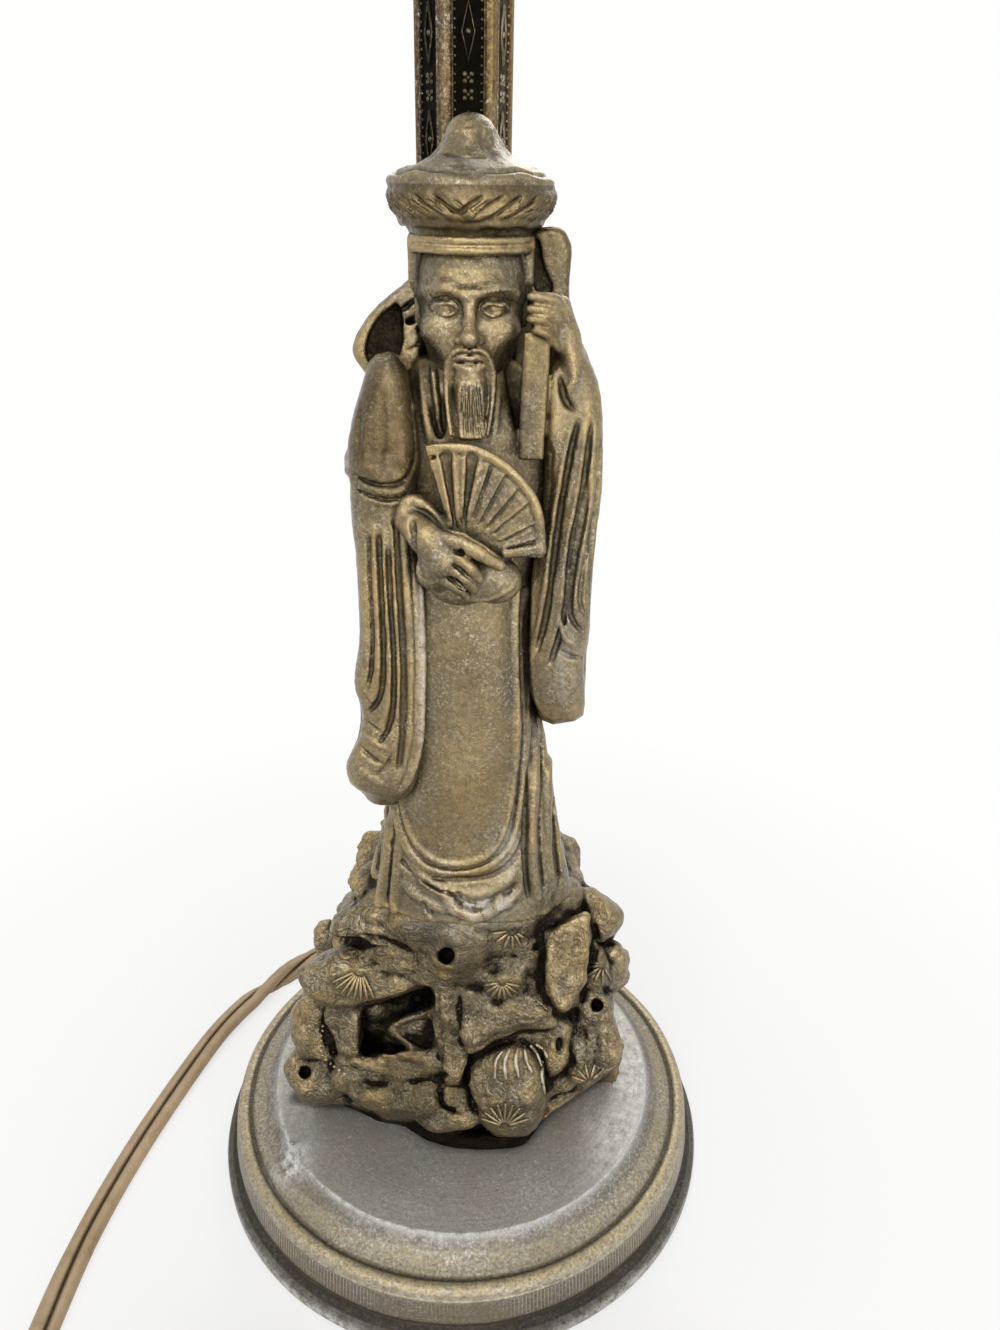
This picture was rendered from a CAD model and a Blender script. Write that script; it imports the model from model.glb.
import math
import bmesh
import bpy
import numpy as np
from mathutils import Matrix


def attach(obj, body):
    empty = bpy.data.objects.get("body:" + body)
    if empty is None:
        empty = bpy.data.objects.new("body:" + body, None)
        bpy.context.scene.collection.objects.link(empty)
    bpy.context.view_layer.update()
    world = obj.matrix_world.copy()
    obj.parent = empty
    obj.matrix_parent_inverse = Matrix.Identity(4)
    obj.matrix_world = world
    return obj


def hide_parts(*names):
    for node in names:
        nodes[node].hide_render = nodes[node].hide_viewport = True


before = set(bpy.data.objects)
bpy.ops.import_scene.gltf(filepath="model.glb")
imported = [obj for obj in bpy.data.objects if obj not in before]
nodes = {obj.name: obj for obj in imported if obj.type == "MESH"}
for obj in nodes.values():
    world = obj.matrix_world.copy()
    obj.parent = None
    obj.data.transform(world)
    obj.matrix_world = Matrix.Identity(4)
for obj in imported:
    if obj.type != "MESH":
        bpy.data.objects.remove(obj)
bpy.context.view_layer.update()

import openvdb
from mathutils import Matrix, Vector

mm = 0.001
scene = bpy.context.scene
scene.view_settings.view_transform = "Standard"


photoView = dict(place=(7.1, -206.2, 246.5), down=25.8, right=0.4, roll=-1.0, lens=27.07)


def addCamera(view):
    down, right, roll = (math.radians(view[key]) for key in ("down", "right", "roll"))
    ahead = Vector((math.sin(right) * math.cos(down), math.cos(right) * math.cos(down), -math.sin(down)))
    level = Vector((math.cos(right), -math.sin(right), 0))
    under = ahead.cross(level)
    side = level * math.cos(roll) + under * math.sin(roll)
    foot = under * math.cos(roll) - level * math.sin(roll)
    data = bpy.data.cameras.new("photoCamera")
    data.lens = view["lens"]
    data.clip_start = 0.01
    camera = bpy.data.objects.new("photoCamera", data)
    scene.collection.objects.link(camera)
    turn = Matrix((side, -foot, -ahead)).transposed().to_4x4()
    camera.matrix_world = Matrix.Translation(Vector(view["place"]) * mm) @ turn
    scene.camera = camera


addCamera(photoView)
print("camera set")


def addMesh(name, verts, faces):  # verts in mm
    mesh = bpy.data.meshes.new(name)
    mesh.from_pydata((np.array(verts, float) * mm).tolist(), [], [list(f) for f in faces])
    mesh.polygons.foreach_set("use_smooth", [True] * len(mesh.polygons))
    mesh.update()
    piece = bpy.data.objects.new(name, mesh)
    scene.collection.objects.link(piece)
    return piece


def vertsOf(piece):
    flat = np.zeros(len(piece.data.vertices) * 3, np.float32)
    piece.data.vertices.foreach_get("co", flat)
    return flat.reshape(-1, 3) / mm


def paint(piece, name, values):  # a number for each vertex or one for all, read by the finishes
    layer = piece.data.attributes.get(name) or piece.data.attributes.new(name, "FLOAT", "POINT")
    values = np.broadcast_to(values, len(piece.data.vertices))
    layer.data.foreach_set("value", np.clip(values, 0, 1).astype(np.float32))


def spot(*parts):  # a soft patch, 1 in its middle: each part is where, the middle and the reach
    return np.exp(-sum(((where - middle) / reach) ** 2 for where, middle, reach in parts))


def wearFinish(piece, finish, stands=()):
    piece.data.materials.clear()
    piece.data.materials.append(finish)
    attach(piece, "lamp")
    if stands:
        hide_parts(*stands)
    return piece


def ringFaces(rings, sides, first=0, closed=False, flip=False):  # quads between rings of points
    faces = []
    for ring in range(rings if closed else rings - 1):
        a, b = first + ring * sides, first + (ring + 1) % rings * sides
        for step in range(sides):
            after = (step + 1) % sides
            face = (a + step, a + after, b + after, b + step)
            faces.append((face[0], face[3], face[2], face[1]) if flip else face)
    return faces


def turned(outline, steps):  # a closed outline of (r, z), turned about Z
    outline = np.array(outline, float)
    angles = np.arange(steps) * 2 * math.pi / steps
    x = outline[None, :, 0] * np.cos(angles)[:, None]
    y = outline[None, :, 0] * np.sin(angles)[:, None]
    z = np.broadcast_to(outline[None, :, 1], x.shape)
    verts = np.stack([x, y, z], -1).reshape(-1, 3)
    return verts, ringFaces(steps, len(outline), closed=True, flip=True)


def outwards(piece):
    shape = bmesh.new()
    shape.from_mesh(piece.data)
    bmesh.ops.remove_doubles(shape, verts=shape.verts, dist=1e-7)
    bmesh.ops.recalc_face_normals(shape, faces=shape.faces)
    shape.to_mesh(piece.data)
    shape.free()


def smoothLine(points, spacing=0.8):  # an even line through hand-set points
    points = np.array(points, float)
    if len(points) < 3:
        dense = points
    else:
        ends = np.vstack([2 * points[0] - points[1], points, 2 * points[-1] - points[-2]])
        dense = []
        for p0, p1, p2, p3 in zip(ends, ends[1:], ends[2:], ends[3:]):
            for t in np.linspace(0, 1, 8, endpoint=False):
                curve = 2 * p1 + (p2 - p0) * t + (2 * p0 - 5 * p1 + 4 * p2 - p3) * t ** 2
                dense.append((curve + (3 * p1 - p0 - 3 * p2 + p3) * t ** 3) / 2)
        dense = np.array(dense + [points[-1]])
    run = np.concatenate([[0], np.cumsum(np.linalg.norm(np.diff(dense, axis=0), axis=1))])
    even = np.linspace(0, run[-1], max(3, int(run[-1] / spacing) + 1))
    return np.stack([np.interp(even, run, dense[:, axis]) for axis in range(dense.shape[1])], 1)


class Wiring:  # short ways to add nodes to a tree and to link them
    def __init__(self, tree):
        self.tree = tree

    def add(self, kind, **settings):
        node = self.tree.nodes.new(kind)
        for key, value in settings.items():
            setattr(node, key, value)
        return node

    def put(self, value, socket):
        if isinstance(value, bpy.types.NodeSocket):
            self.tree.links.new(value, socket)
        elif value is not None:
            plainColor = isinstance(value, tuple) and len(socket.default_value) == 4
            socket.default_value = (*value, 1) if plainColor else value

    def sum(self, kind, a, b=0.0):
        node = self.add("ShaderNodeMath", operation=kind)
        for value, socket in zip((a, b), node.inputs):
            self.put(value, socket)
        return node.outputs[0]

    def times(self, a, b):
        return self.sum("MULTIPLY", a, b)

    def plus(self, a, b):
        return self.sum("ADD", a, b)

    def less(self, a, b):
        return self.sum("SUBTRACT", a, b)

    def most(self, a, b):
        return self.sum("MAXIMUM", a, b)

    def fit(self, value, low, high, start=0.0, end=1.0):
        node = self.add("ShaderNodeMapRange")
        for entry, socket in zip((value, low, high, start, end), node.inputs):
            self.put(entry, socket)
        return node.outputs[0]


class Finish(Wiring):  # a material
    def __init__(self, name):
        self.material = bpy.data.materials.new(name)
        self.material.use_nodes = True
        super().__init__(self.material.node_tree)
        self.shader = self.tree.nodes["Principled BSDF"]
        self.place = self.add("ShaderNodeTexCoord").outputs["Object"]

    def noise(self, scale, detail=4, rough=0.55, twist=0.0):
        node = self.add("ShaderNodeTexNoise")
        node.inputs["Scale"].default_value = scale
        node.inputs["Detail"].default_value = detail
        node.inputs["Roughness"].default_value = rough
        node.inputs["Distortion"].default_value = twist
        self.put(self.place, node.inputs["Vector"])
        return node.outputs["Fac"]

    def painted(self, name):
        return self.add("ShaderNodeAttribute", attribute_name=name).outputs["Fac"]

    def mix(self, share, a, b):
        node = self.add("ShaderNodeMix", data_type="RGBA")
        for value, socket in zip((share, a, b), (node.inputs[0], node.inputs[6], node.inputs[7])):
            self.put(value, socket)
        return node.outputs[2]

    def relief(self, height, depth, strength=1.0, under=None):
        node = self.add("ShaderNodeBump")
        node.inputs["Strength"].default_value = strength
        node.inputs["Distance"].default_value = depth * mm
        self.put(height, node.inputs["Height"])
        self.put(under, node.inputs["Normal"])
        return node.outputs[0]

    def set(self, **values):
        names = dict(color="Base Color", metal="Metallic", rough="Roughness", normal="Normal",
                     sheen="Sheen Weight", spec="Specular IOR Level")
        for key, value in values.items():
            self.put(value, self.shader.inputs[names[key]])
        return self.material


def oldMetal(name, tone, warmTone, rubbed, wash, fleck=(0.5, 0.48, 0.44), flecks=0.5, metal=0.9, rough=0.42,
             ringed=False, blotch=90, pits=1.0, washReach=1.0, rubbing=0.35, gritty=0.4, washed=0.9,
             softness=1.0):
    f = Finish(name)
    broad, mid, fine = f.noise(blotch, 5, 0.6), f.noise(420, 6, 0.62), f.noise(1900, 3, 0.6)
    grit = f.noise(1300, 6, 0.8)
    hollow, shade = f.painted("hollow"), f.painted("shade")
    gilt, grime, pale = f.painted("gilt"), f.painted("grime"), f.painted("pale")
    craggy, busy = f.painted("craggy"), f.painted("busy")
    wrinkle = f.sum("ABSOLUTE", f.less(f.noise(260, 5, 0.6, twist=0.8), 0.5))   # creased stone
    color = f.mix(f.fit(broad, 0.35, 0.65), tone, warmTone)
    bronze = f.painted("bronze")
    color = f.mix(f.times(bronze, f.fit(mid, 0.25, 0.6, 0.6, 1.0)), color, (0.082, 0.054, 0.021))
    color = f.mix(f.fit(mid, 0.3, 0.75, 0.0, 0.55), color, tuple(c * 0.5 for c in tone))
    ridge = f.fit(f.plus(hollow, f.fit(mid, 0.25, 0.75, 0.06, -0.06)), 0.47, 0.36)
    ridge = f.times(ridge, f.fit(bronze, 0, 1, rubbing, rubbing * 0.15))
    handled = f.fit(f.noise(75, 3, 0.5), 0.42, 0.58)   # patches that hands have kept bright
    ridge = f.times(ridge, f.fit(handled, 0, 1, 0.35, 1.35))
    golden = f.most(f.times(gilt, f.fit(mid, 0.3, 0.6, 0.35, 0.95)), ridge)
    color = f.mix(golden, color, rubbed)
    share = f.fit(busy, 0, 1, gritty, gritty * 2.9)
    color = f.mix(f.times(f.fit(grit, 0.5, 0.38), share), color, tuple(c * 0.3 for c in tone))
    glint = f.mix(handled, tuple(min(1, c * 1.3) for c in fleck), tuple(min(1, c * 1.25) for c in rubbed))
    share = f.times(share, f.fit(bronze, 0, 1, 1.0, 0.3))
    color = f.mix(f.times(f.fit(grit, 0.52, 0.66), share), color, glint)
    deep = f.fit(f.plus(hollow, f.fit(mid, 0.25, 0.75, -0.05, 0.05)), 0.515, 0.515 + 0.11 / washReach)
    deep = f.times(deep, f.fit(craggy, 0, 1, softness, 1))
    deep = f.most(deep, f.fit(shade, 0.55, 0.95))
    deep = f.most(deep, f.times(grime, f.fit(fine, 0.3, 0.6, 0.8, 1.0)))
    deep = f.most(deep, f.times(craggy, f.fit(wrinkle, 0.03, 0.0, 0.0, 0.6)))
    dirty = f.mix(f.most(f.times(deep, washed), f.sum("POWER", grime, 4)), color, wash)
    specks = f.fit(fine, 0.57, 0.66)
    specks = f.times(specks, f.fit(f.noise(160, 3), 0.42, 0.66, 0.05, 1.0))
    specks = f.times(specks, f.times(f.less(1.0, f.times(deep, 0.7)), flecks))
    specks = f.times(specks, f.less(f.fit(bronze, 0, 1, 1.0, 0.45), f.sum("POWER", grime, 2)))
    chalk = f.times(pale, f.fit(f.plus(mid, f.times(fine, 0.5)), 0.62, 0.86))
    white = f.most(specks, chalk)
    color = f.mix(white, dirty, fleck)
    normal = f.relief(fine, 0.07 * pits, 0.7)
    normal = f.relief(mid, 0.22 * pits, 0.6, normal)
    normal = f.relief(grit, 0.12 * pits, 0.6, normal)
    normal = f.relief(f.times(craggy, f.fit(wrinkle, 0.0, 0.12)), 0.3, 0.7, normal)
    if ringed:  # the marks that spinning left
        apart = f.add("ShaderNodeSeparateXYZ")
        f.put(f.place, apart.inputs[0])
        x, y, z = apart.outputs
        away = f.sum("SQRT", f.plus(f.times(x, x), f.times(y, y)))
        line = f.add("ShaderNodeTexNoise", noise_dimensions="1D")
        line.inputs["Scale"].default_value = 2600
        line.inputs["Detail"].default_value = 4
        f.put(f.plus(away, z), line.inputs["W"])
        lines = line.outputs["Fac"]
        color = f.mix(f.fit(lines, 0.5, 0.72, 0.0, 0.12), color, rubbed)
        color = f.mix(f.fit(lines, 0.48, 0.3, 0.0, 0.16), color, wash)
        normal = f.relief(lines, 0.02, 0.6, normal)
    gloss = f.fit(mid, 0.3, 0.7, rough - 0.1, rough + 0.12)
    gloss = f.plus(gloss, f.times(f.most(deep, white), 0.28))
    shine = f.less(metal, f.times(white, 0.55))
    return f.set(color=color, metal=shine, rough=gloss, normal=normal, spec=0.3)


def cleanMetal(name, tone, dull, rough=0.3, grain=600, tarnish=0.4):
    f = Finish(name)
    stain, fine = f.noise(130, 5, 0.6), f.noise(grain, 4)
    color = f.mix(f.fit(stain, 0.45, 0.75, 0.0, tarnish), tone, dull)
    color = f.mix(f.fit(fine, 0.35, 0.7, 0.0, 0.25), color, tuple(c * 0.6 for c in tone))
    gloss = f.fit(stain, 0.3, 0.7, rough - 0.05, rough + 0.15)
    return f.set(color=color, metal=1.0, rough=gloss, normal=f.relief(fine, 0.02, 0.6))


def moulded(name, tone, rough=0.4, grain=900, depth=0.03, dust=0.15, metal=0.0):
    f = Finish(name)
    cloud, fine = f.noise(70, 4), f.noise(grain, 3)
    color = f.mix(f.fit(cloud, 0.4, 0.7, 0.0, dust), tone, tuple(min(1, c * 1.6 + 0.04) for c in tone))
    color = f.mix(f.fit(fine, 0.55, 0.75, 0.0, 0.2), color, tuple(c * 0.6 for c in tone))
    return f.set(color=color, rough=f.fit(cloud, 0.3, 0.7, rough - 0.06, rough + 0.12), metal=metal,
                 normal=f.relief(fine, depth, 0.7))


def feltCloth(name, tone):
    f = Finish(name)
    fibres = f.noise(1500, 6, 0.7, twist=1.5)
    color = f.mix(f.fit(fibres, 0.35, 0.65), tuple(c * 0.5 for c in tone), tone)
    return f.set(color=color, rough=0.95, sheen=0.4, normal=f.relief(fibres, 0.25, 0.8))


def cordVinyl(name, tone, pale, dirt):
    f = Finish(name)
    soil, fine = f.noise(55, 5, 0.6), f.noise(1300, 3)
    groove = f.painted("groove")
    color = f.mix(f.fit(soil, 0.35, 0.7), tone, pale)
    color = f.mix(f.fit(f.noise(210, 5, 0.65), 0.5, 0.75, 0.0, 0.45), color, dirt)
    color = f.mix(f.times(groove, 0.8), color, tuple(c * 0.45 for c in dirt))
    normal = f.relief(fine, 0.03, 0.6, f.relief(f.noise(160, 4), 0.15, 0.4))
    return f.set(color=color, rough=f.fit(soil, 0.3, 0.7, 0.42, 0.58), normal=normal)


finishes = dict(
    spelter=oldMetal("castSpelter", (0.176, 0.148, 0.099), (0.228, 0.176, 0.091), (0.52, 0.385, 0.18),
                     (0.009, 0.006, 0.0035), fleck=(0.62, 0.58, 0.5), flecks=0.62, metal=0.9, rough=0.3,
                     pits=1.4, gritty=0.33, washed=0.97, washReach=1.3, rubbing=0.36, softness=0.62),
    base=oldMetal("spunBrass", (0.47, 0.455, 0.43), (0.45, 0.42, 0.36), (0.51, 0.41, 0.225),
                  (0.014, 0.010, 0.006), fleck=(0.78, 0.77, 0.74), flecks=0.55, metal=0.5, rough=0.47,
                  ringed=True, blotch=60, pits=0.7, gritty=0.3),
    column=oldMetal("columnBrass", (0.050, 0.037, 0.020), (0.09, 0.062, 0.026), (0.33, 0.225, 0.09),
                    (0.004, 0.003, 0.0015), flecks=0.3, rough=0.42, blotch=120, pits=0.6, gritty=0.3,
                    washed=0.98),
    turnedBrass=oldMetal("turnedBrass", (0.20, 0.155, 0.08), (0.28, 0.2, 0.09), (0.5, 0.37, 0.16),
                         (0.02, 0.014, 0.01), flecks=0.15, rough=0.34, pits=0.4),
    socketBrass=cleanMetal("socketBrass", (0.47, 0.34, 0.155), (0.15, 0.105, 0.055), 0.32, 700, 0.6),
    contactBrass=cleanMetal("contactBrass", (0.7, 0.52, 0.24), (0.3, 0.2, 0.1), 0.3, 900, 0.3),
    steel=cleanMetal("zincSteel", (0.42, 0.41, 0.39), (0.13, 0.09, 0.06), 0.38, 800, 0.7),
    iron=moulded("castIron", (0.05, 0.048, 0.045), 0.65, 700, 0.12, 0.3, metal=0.7),
    board=moulded("linerBoard", (0.42, 0.33, 0.22), 0.85, 1200, 0.05),
    porcelain=moulded("socketMoulding", (0.03, 0.022, 0.018), 0.42, 800, 0.02),
    knob=moulded("knobPlastic", (0.012, 0.01, 0.009), 0.25, 500, 0.02),
    plug=moulded("plugVinyl", (0.34, 0.24, 0.14), 0.45, 900, 0.03, 0.35),
    felt=feltCloth("greenFelt", (0.03, 0.06, 0.035)),
    cord=cordVinyl("cordVinyl", (0.36, 0.25, 0.135), (0.50, 0.37, 0.22), (0.15, 0.10, 0.055)),
)
print("finishes made")


room = dict(
    floor=0.86, white=(1, 0.998, 0.992), glowNear=0.68, glowFar=1.0, farAway=240.0, world=0.46,
    aim=(0, 0, 160), lamps=dict(keyLamp=((-240, -800, 820), 520, 4.8), fillLamp=((380, -860, 240), 520, 3.2),
               backLamp=((120, 480, 560), 420, 1.6)))   # place, size and power


def seenRays(wiring):  # 1 for what the camera sees, also in a mirror or through glass
    rays = wiring.add("ShaderNodeLightPath").outputs
    indirect = wiring.most(rays["Is Glossy Ray"], rays["Is Transmission Ray"])
    return wiring.most(rays["Is Camera Ray"], indirect)


def addRoom(spec):
    floor = addMesh("floor", [(-4000, -4000, 0), (4000, -4000, 0), (4000, 4000, 0), (-4000, 4000, 0)],
                    [(0, 1, 2, 3)])
    f = Finish("paleFloor")
    f.set(color=(spec["floor"],) * 3, rough=0.9)
    glow = f.add("ShaderNodeEmission")
    f.put(spec["white"], glow.inputs["Color"])
    blend = f.add("ShaderNodeMixShader")
    away = f.add("ShaderNodeVectorMath", operation="LENGTH")
    f.put(f.place, away.inputs[0])
    white = f.fit(away.outputs["Value"], 0.09, spec["farAway"] * mm, spec["glowNear"], spec["glowFar"])
    f.put(f.times(seenRays(f), white), blend.inputs[0])
    f.put(f.shader.outputs[0], blend.inputs[1])
    f.put(glow.outputs[0], blend.inputs[2])
    f.put(blend.outputs[0], f.tree.nodes["Material Output"].inputs["Surface"])
    floor.data.materials.append(f.material)

    world = bpy.data.worlds.new("room")
    scene.world = world
    world.use_nodes = True
    w = Wiring(world.node_tree)
    sky = w.tree.nodes["Background"]
    w.put(spec["white"], sky.inputs["Color"])
    w.put(w.fit(seenRays(w), 0.0, 1.0, spec["world"], 1.0), sky.inputs["Strength"])

    for name, (place, size, power) in spec["lamps"].items():
        data = bpy.data.lights.new(name, "AREA")
        data.size = size * mm
        data.energy = power
        lamp = bpy.data.objects.new(name, data)
        scene.collection.objects.link(lamp)
        turn = (Vector(place) - Vector(spec["aim"])).to_track_quat("Z", "Y").to_matrix().to_4x4()
        lamp.matrix_world = Matrix.Translation(Vector(place) * mm) @ turn


addRoom(room)
print("room lit")


lead = dict(
    width=6.8, lobe=3.9, spacing=2.2, lobeSides=8, open=0.93, sway=0.12,
    exitAngle=68.0, exitAt=86.5, exitHeight=10.2,
    route=[
        (37.6, 93.2, 9.6), (34.6, 108.6, 6.2), (23.4, 120.2, 2.9), (7.6, 123.4, 2.0),
        (-8.6, 117.6, 2.0), (-26.4, 98.6, 2.0), (-44.0, 73.0, 2.0), (-63.5, 53.5, 2.6),
        (-76.5, 33.0, 3.4), (-84.0, 10.5, 2.6), (-91.0, -15.0, 2.0), (-95.5, -42.0, 2.0),
        (-96.2, -66.0, 2.4), (-96.5, -90.0, 3.2), (-96.5, -106.9, 3.45)],
    coilAt=(-51.7, -120.5), coilRadius=44.8, coilPitch=7.3, coilLow=3.45, halfTurns=6, pointsPerHalf=9,
    tailRadius=27.0, tailTurn=80.0, flatTurns=((0.0, 0.0), (150.0, 0.0), (176.0, 1.0), (262.0, 1.0),
                                               (330.0, 1.5)))


def coilPoints(spec):  # spirals in on the table, climbs a layer in half a turn, then spirals out
    half = math.pi / spec["pointsPerHalf"]
    outside = 1 / math.cos(half / 2)   # the spline runs inside its control points
    step = spec["coilPitch"] / 2
    cx, cy = spec["coilAt"]
    low, high = spec["coilLow"], spec["coilLow"] + spec["coilPitch"]
    halves = []
    for turn in range(spec["halfTurns"]):
        radius = spec["coilRadius"] - step * turn
        halves.append((radius, low, low))
    inner = spec["coilRadius"] - step * spec["halfTurns"]
    halves.append((inner + step / 2, low, high))
    halves += [(radius, high, high) for radius, _, _ in reversed(halves[:-1])]
    points, x = [], cx - spec["coilRadius"]
    for index, (radius, start, end) in enumerate(halves):
        side = -1 if index % 2 == 0 else 1   # first half turn passes the front
        middle = x - side * radius
        for count in range(spec["pointsPerHalf"]):
            share = (count + 0.5) / spec["pointsPerHalf"]
            angle = math.pi * share
            reach = radius * outside
            points.append((middle + side * reach * math.cos(angle), cy + side * reach * math.sin(angle),
                           start + (end - start) * share))
        x = middle - side * radius
    return points, x


def leadPoints(spec):
    way = Vector((math.cos(math.radians(spec["exitAngle"])), math.sin(math.radians(spec["exitAngle"]))))
    start = way * spec["exitAt"]
    points = [(start.x, start.y, spec["exitHeight"])] + spec["route"]
    coil, x = coilPoints(spec)
    points += coil
    high = spec["coilLow"] + spec["coilPitch"]
    cy, radius, turn = spec["coilAt"][1], spec["tailRadius"], math.radians(spec["tailTurn"])
    points.append((x, cy + 3.4, high))
    for share in (0.12, 0.37, 0.62, 0.87):
        angle = math.pi - turn * share
        points.append((x + radius + 1.02 * radius * math.cos(angle),
                       cy + 6.8 + 1.02 * radius * math.sin(angle), high))
    angle = math.pi - turn
    end = Vector((x + radius + radius * math.cos(angle), cy + 6.8 + radius * math.sin(angle), high))
    ahead = Vector((math.sin(turn), math.cos(turn), 0))
    return points + [tuple(end + ahead * 3.4), tuple(end + ahead * 6.8)]


def splineLine(points):  # points read from the NURBS spline through the route, in mm
    curve = bpy.data.curves.new("leadRoute", "CURVE")
    curve.dimensions = "3D"
    curve.resolution_u = 8
    spline = curve.splines.new("NURBS")
    spline.points.add(len(points) - 1)
    for entry, point in zip(spline.points, points):
        entry.co = (*(value * mm for value in point), 1)
    spline.order_u = 3
    spline.use_endpoint_u = True
    holder = bpy.data.objects.new("leadRoute", curve)
    scene.collection.objects.link(holder)
    line = bpy.data.meshes.new_from_object(holder)
    read = np.array([vertex.co for vertex in line.vertices], float) / mm
    bpy.data.objects.remove(holder)
    bpy.data.meshes.remove(line)
    return read


def twinCord(name, line, spec):  # two round cores side by side, with a groove between them
    lobe, apart = spec["lobe"] / 2, (spec["width"] - spec["lobe"]) / 2
    run = np.concatenate([[0], np.cumsum(np.linalg.norm(np.diff(line, axis=0), axis=1))])
    even = np.linspace(0, run[-1], int(run[-1] / spec["spacing"]))
    line = np.stack([np.interp(even, run, line[:, axis]) for axis in range(3)], 1)
    turns = np.array(spec["flatTurns"])
    roll = np.interp(even, turns[:, 0], turns[:, 1]) * math.pi
    roll += spec["sway"] * np.sin(even / 31) * np.interp(even, [300, 420], [1, 0.5])
    ahead = np.gradient(line, axis=0)
    ahead /= np.linalg.norm(ahead, axis=1)[:, None]
    level = np.cross(ahead, (0, 0, 1.0))
    level /= np.linalg.norm(level, axis=1)[:, None]
    top = np.cross(level, ahead)
    verts, groove = [], []
    opened = math.acos(min(1, apart / lobe)) * spec["open"]
    for side in (1, -1):
        for step in range(spec["lobeSides"] + 1):
            angle = -math.pi + opened + (2 * math.pi - 2 * opened) * step / spec["lobeSides"]
            a = side * (apart + lobe * math.cos(angle))
            b = side * lobe * math.sin(angle)
            across = np.cos(roll)[:, None] * level + np.sin(roll)[:, None] * top
            over = -np.sin(roll)[:, None] * level + np.cos(roll)[:, None] * top
            verts.append(line + across * a + over * b)
            groove.append(np.full(len(line), max(0, 1 - abs(a) / 0.9)))
    verts, groove = np.stack(verts, 1), np.stack(groove, 1)
    rings, sides = verts.shape[:2]
    verts[..., 2] = np.maximum(verts[..., 2], 0.02)
    flat = verts.reshape(-1, 3)
    faces = ringFaces(rings, sides)
    faces.append(tuple(range(sides))[::-1])
    faces.append(tuple((rings - 1) * sides + step for step in range(sides)))
    piece = addMesh(name, flat, faces)
    paint(piece, "groove", groove.reshape(-1))
    outwards(piece)
    return piece, even[-1]


leadLine = splineLine(leadPoints(lead))
leadCord, leadLength = twinCord("lead_cord", leadLine, lead)
wearFinish(leadCord, finishes["cord"], stands=("mains_cord", "cord_coil"))
print("cord laid, %.0f mm" % leadLength)


base = dict(
    radius=66.5, rimBottom=0.4, dentAt=(-44.5, -27.0), dentWide=9.0, steps=420,
    ridges=430, ridgeLow=7.3, ridgeHigh=13.3, ridgeHalf=0.21, ridgeProud=0.16, bandLow=6.9,
    bandRadius=63.46, bandLean=0.107, inside=[(2.0, 22.4), (25.0, 21.9), (50.2, 20.2), (57.4, 15.3),
                                              (61.4, 13.2), (62.2, 6.8), (65.2, 2.4), (65.5, 0.4)],
    rockFoot=[(-44, -12.5), (-38, -14), (-27, -16), (-15, -20), (-6.4, -26), (0, -27.2), (7.4, -27.6),
              (15.6, -26.5), (21, -19),
              (29, -12), (36.6, -6)])   # where the rock stands


def arcPoints(start, middle, end, count):  # points of the arc through three points of the outline
    (ax, ay), (bx, by), (cx, cy) = start, middle, end
    d = 2 * (ax * (by - cy) + bx * (cy - ay) + cx * (ay - by))
    a, b, c = ax ** 2 + ay ** 2, bx ** 2 + by ** 2, cx ** 2 + cy ** 2
    ux = (a * (by - cy) + b * (cy - ay) + c * (ay - by)) / d
    uy = (a * (cx - bx) + b * (ax - cx) + c * (bx - ax)) / d
    first, last = math.atan2(ay - uy, ax - ux), math.atan2(cy - uy, cx - ux)
    through = math.atan2(by - uy, bx - ux)
    radius = math.hypot(ax - ux, ay - uy)
    sweep = (last - first) % (2 * math.pi)
    if (through - first) % (2 * math.pi) > sweep:
        sweep -= 2 * math.pi
    return [(ux + radius * math.cos(first + sweep * k / count),
             uy + radius * math.sin(first + sweep * k / count))
            for k in range(1, count + 1)]


def straight(start, end, count):
    return [(start[0] + (end[0] - start[0]) * k / count, start[1] + (end[1] - start[1]) * k / count)
            for k in range(1, count + 1)]


def baseOutline(spec):
    radius = spec["radius"]
    line = [(radius - 0.5, spec["rimBottom"])]
    line += arcPoints(line[-1], (radius - 0.1, 0.75), (radius, 1.3), 3)
    line += straight((radius, 1.3), (radius, 2.8), 3)
    line += arcPoints(line[-1], (radius - 0.4, 3.6), (radius - 1.3, 3.9), 5)
    line += arcPoints(line[-1], (63.9, 4.6), (63.2, 6.2), 6)          # the hollow under the band
    line += straight(line[-1], (63.1, 6.6), 2) + straight((63.1, 6.6), (63.5, 6.9), 2)
    line += straight(line[-1], (62.75, 13.6), 12)                      # the striated band
    line += arcPoints(line[-1], (62.9, 13.9), (62.6, 14.2), 3)
    line += arcPoints(line[-1], (61.9, 16.1), (59.6, 16.4), 10)        # the torus
    line += arcPoints(line[-1], (59.0, 15.95), (58.4, 16.5), 5)        # the groove behind it
    line += arcPoints(line[-1], (54.6, 18.5), (51.9, 21.0), 16)        # the cove
    line += arcPoints(line[-1], (51.5, 21.35), (50.7, 21.45), 5)       # the bright edge
    line += arcPoints(line[-1], (25.0, 23.1), (2.0, 23.6), 44)
    return line


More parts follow.
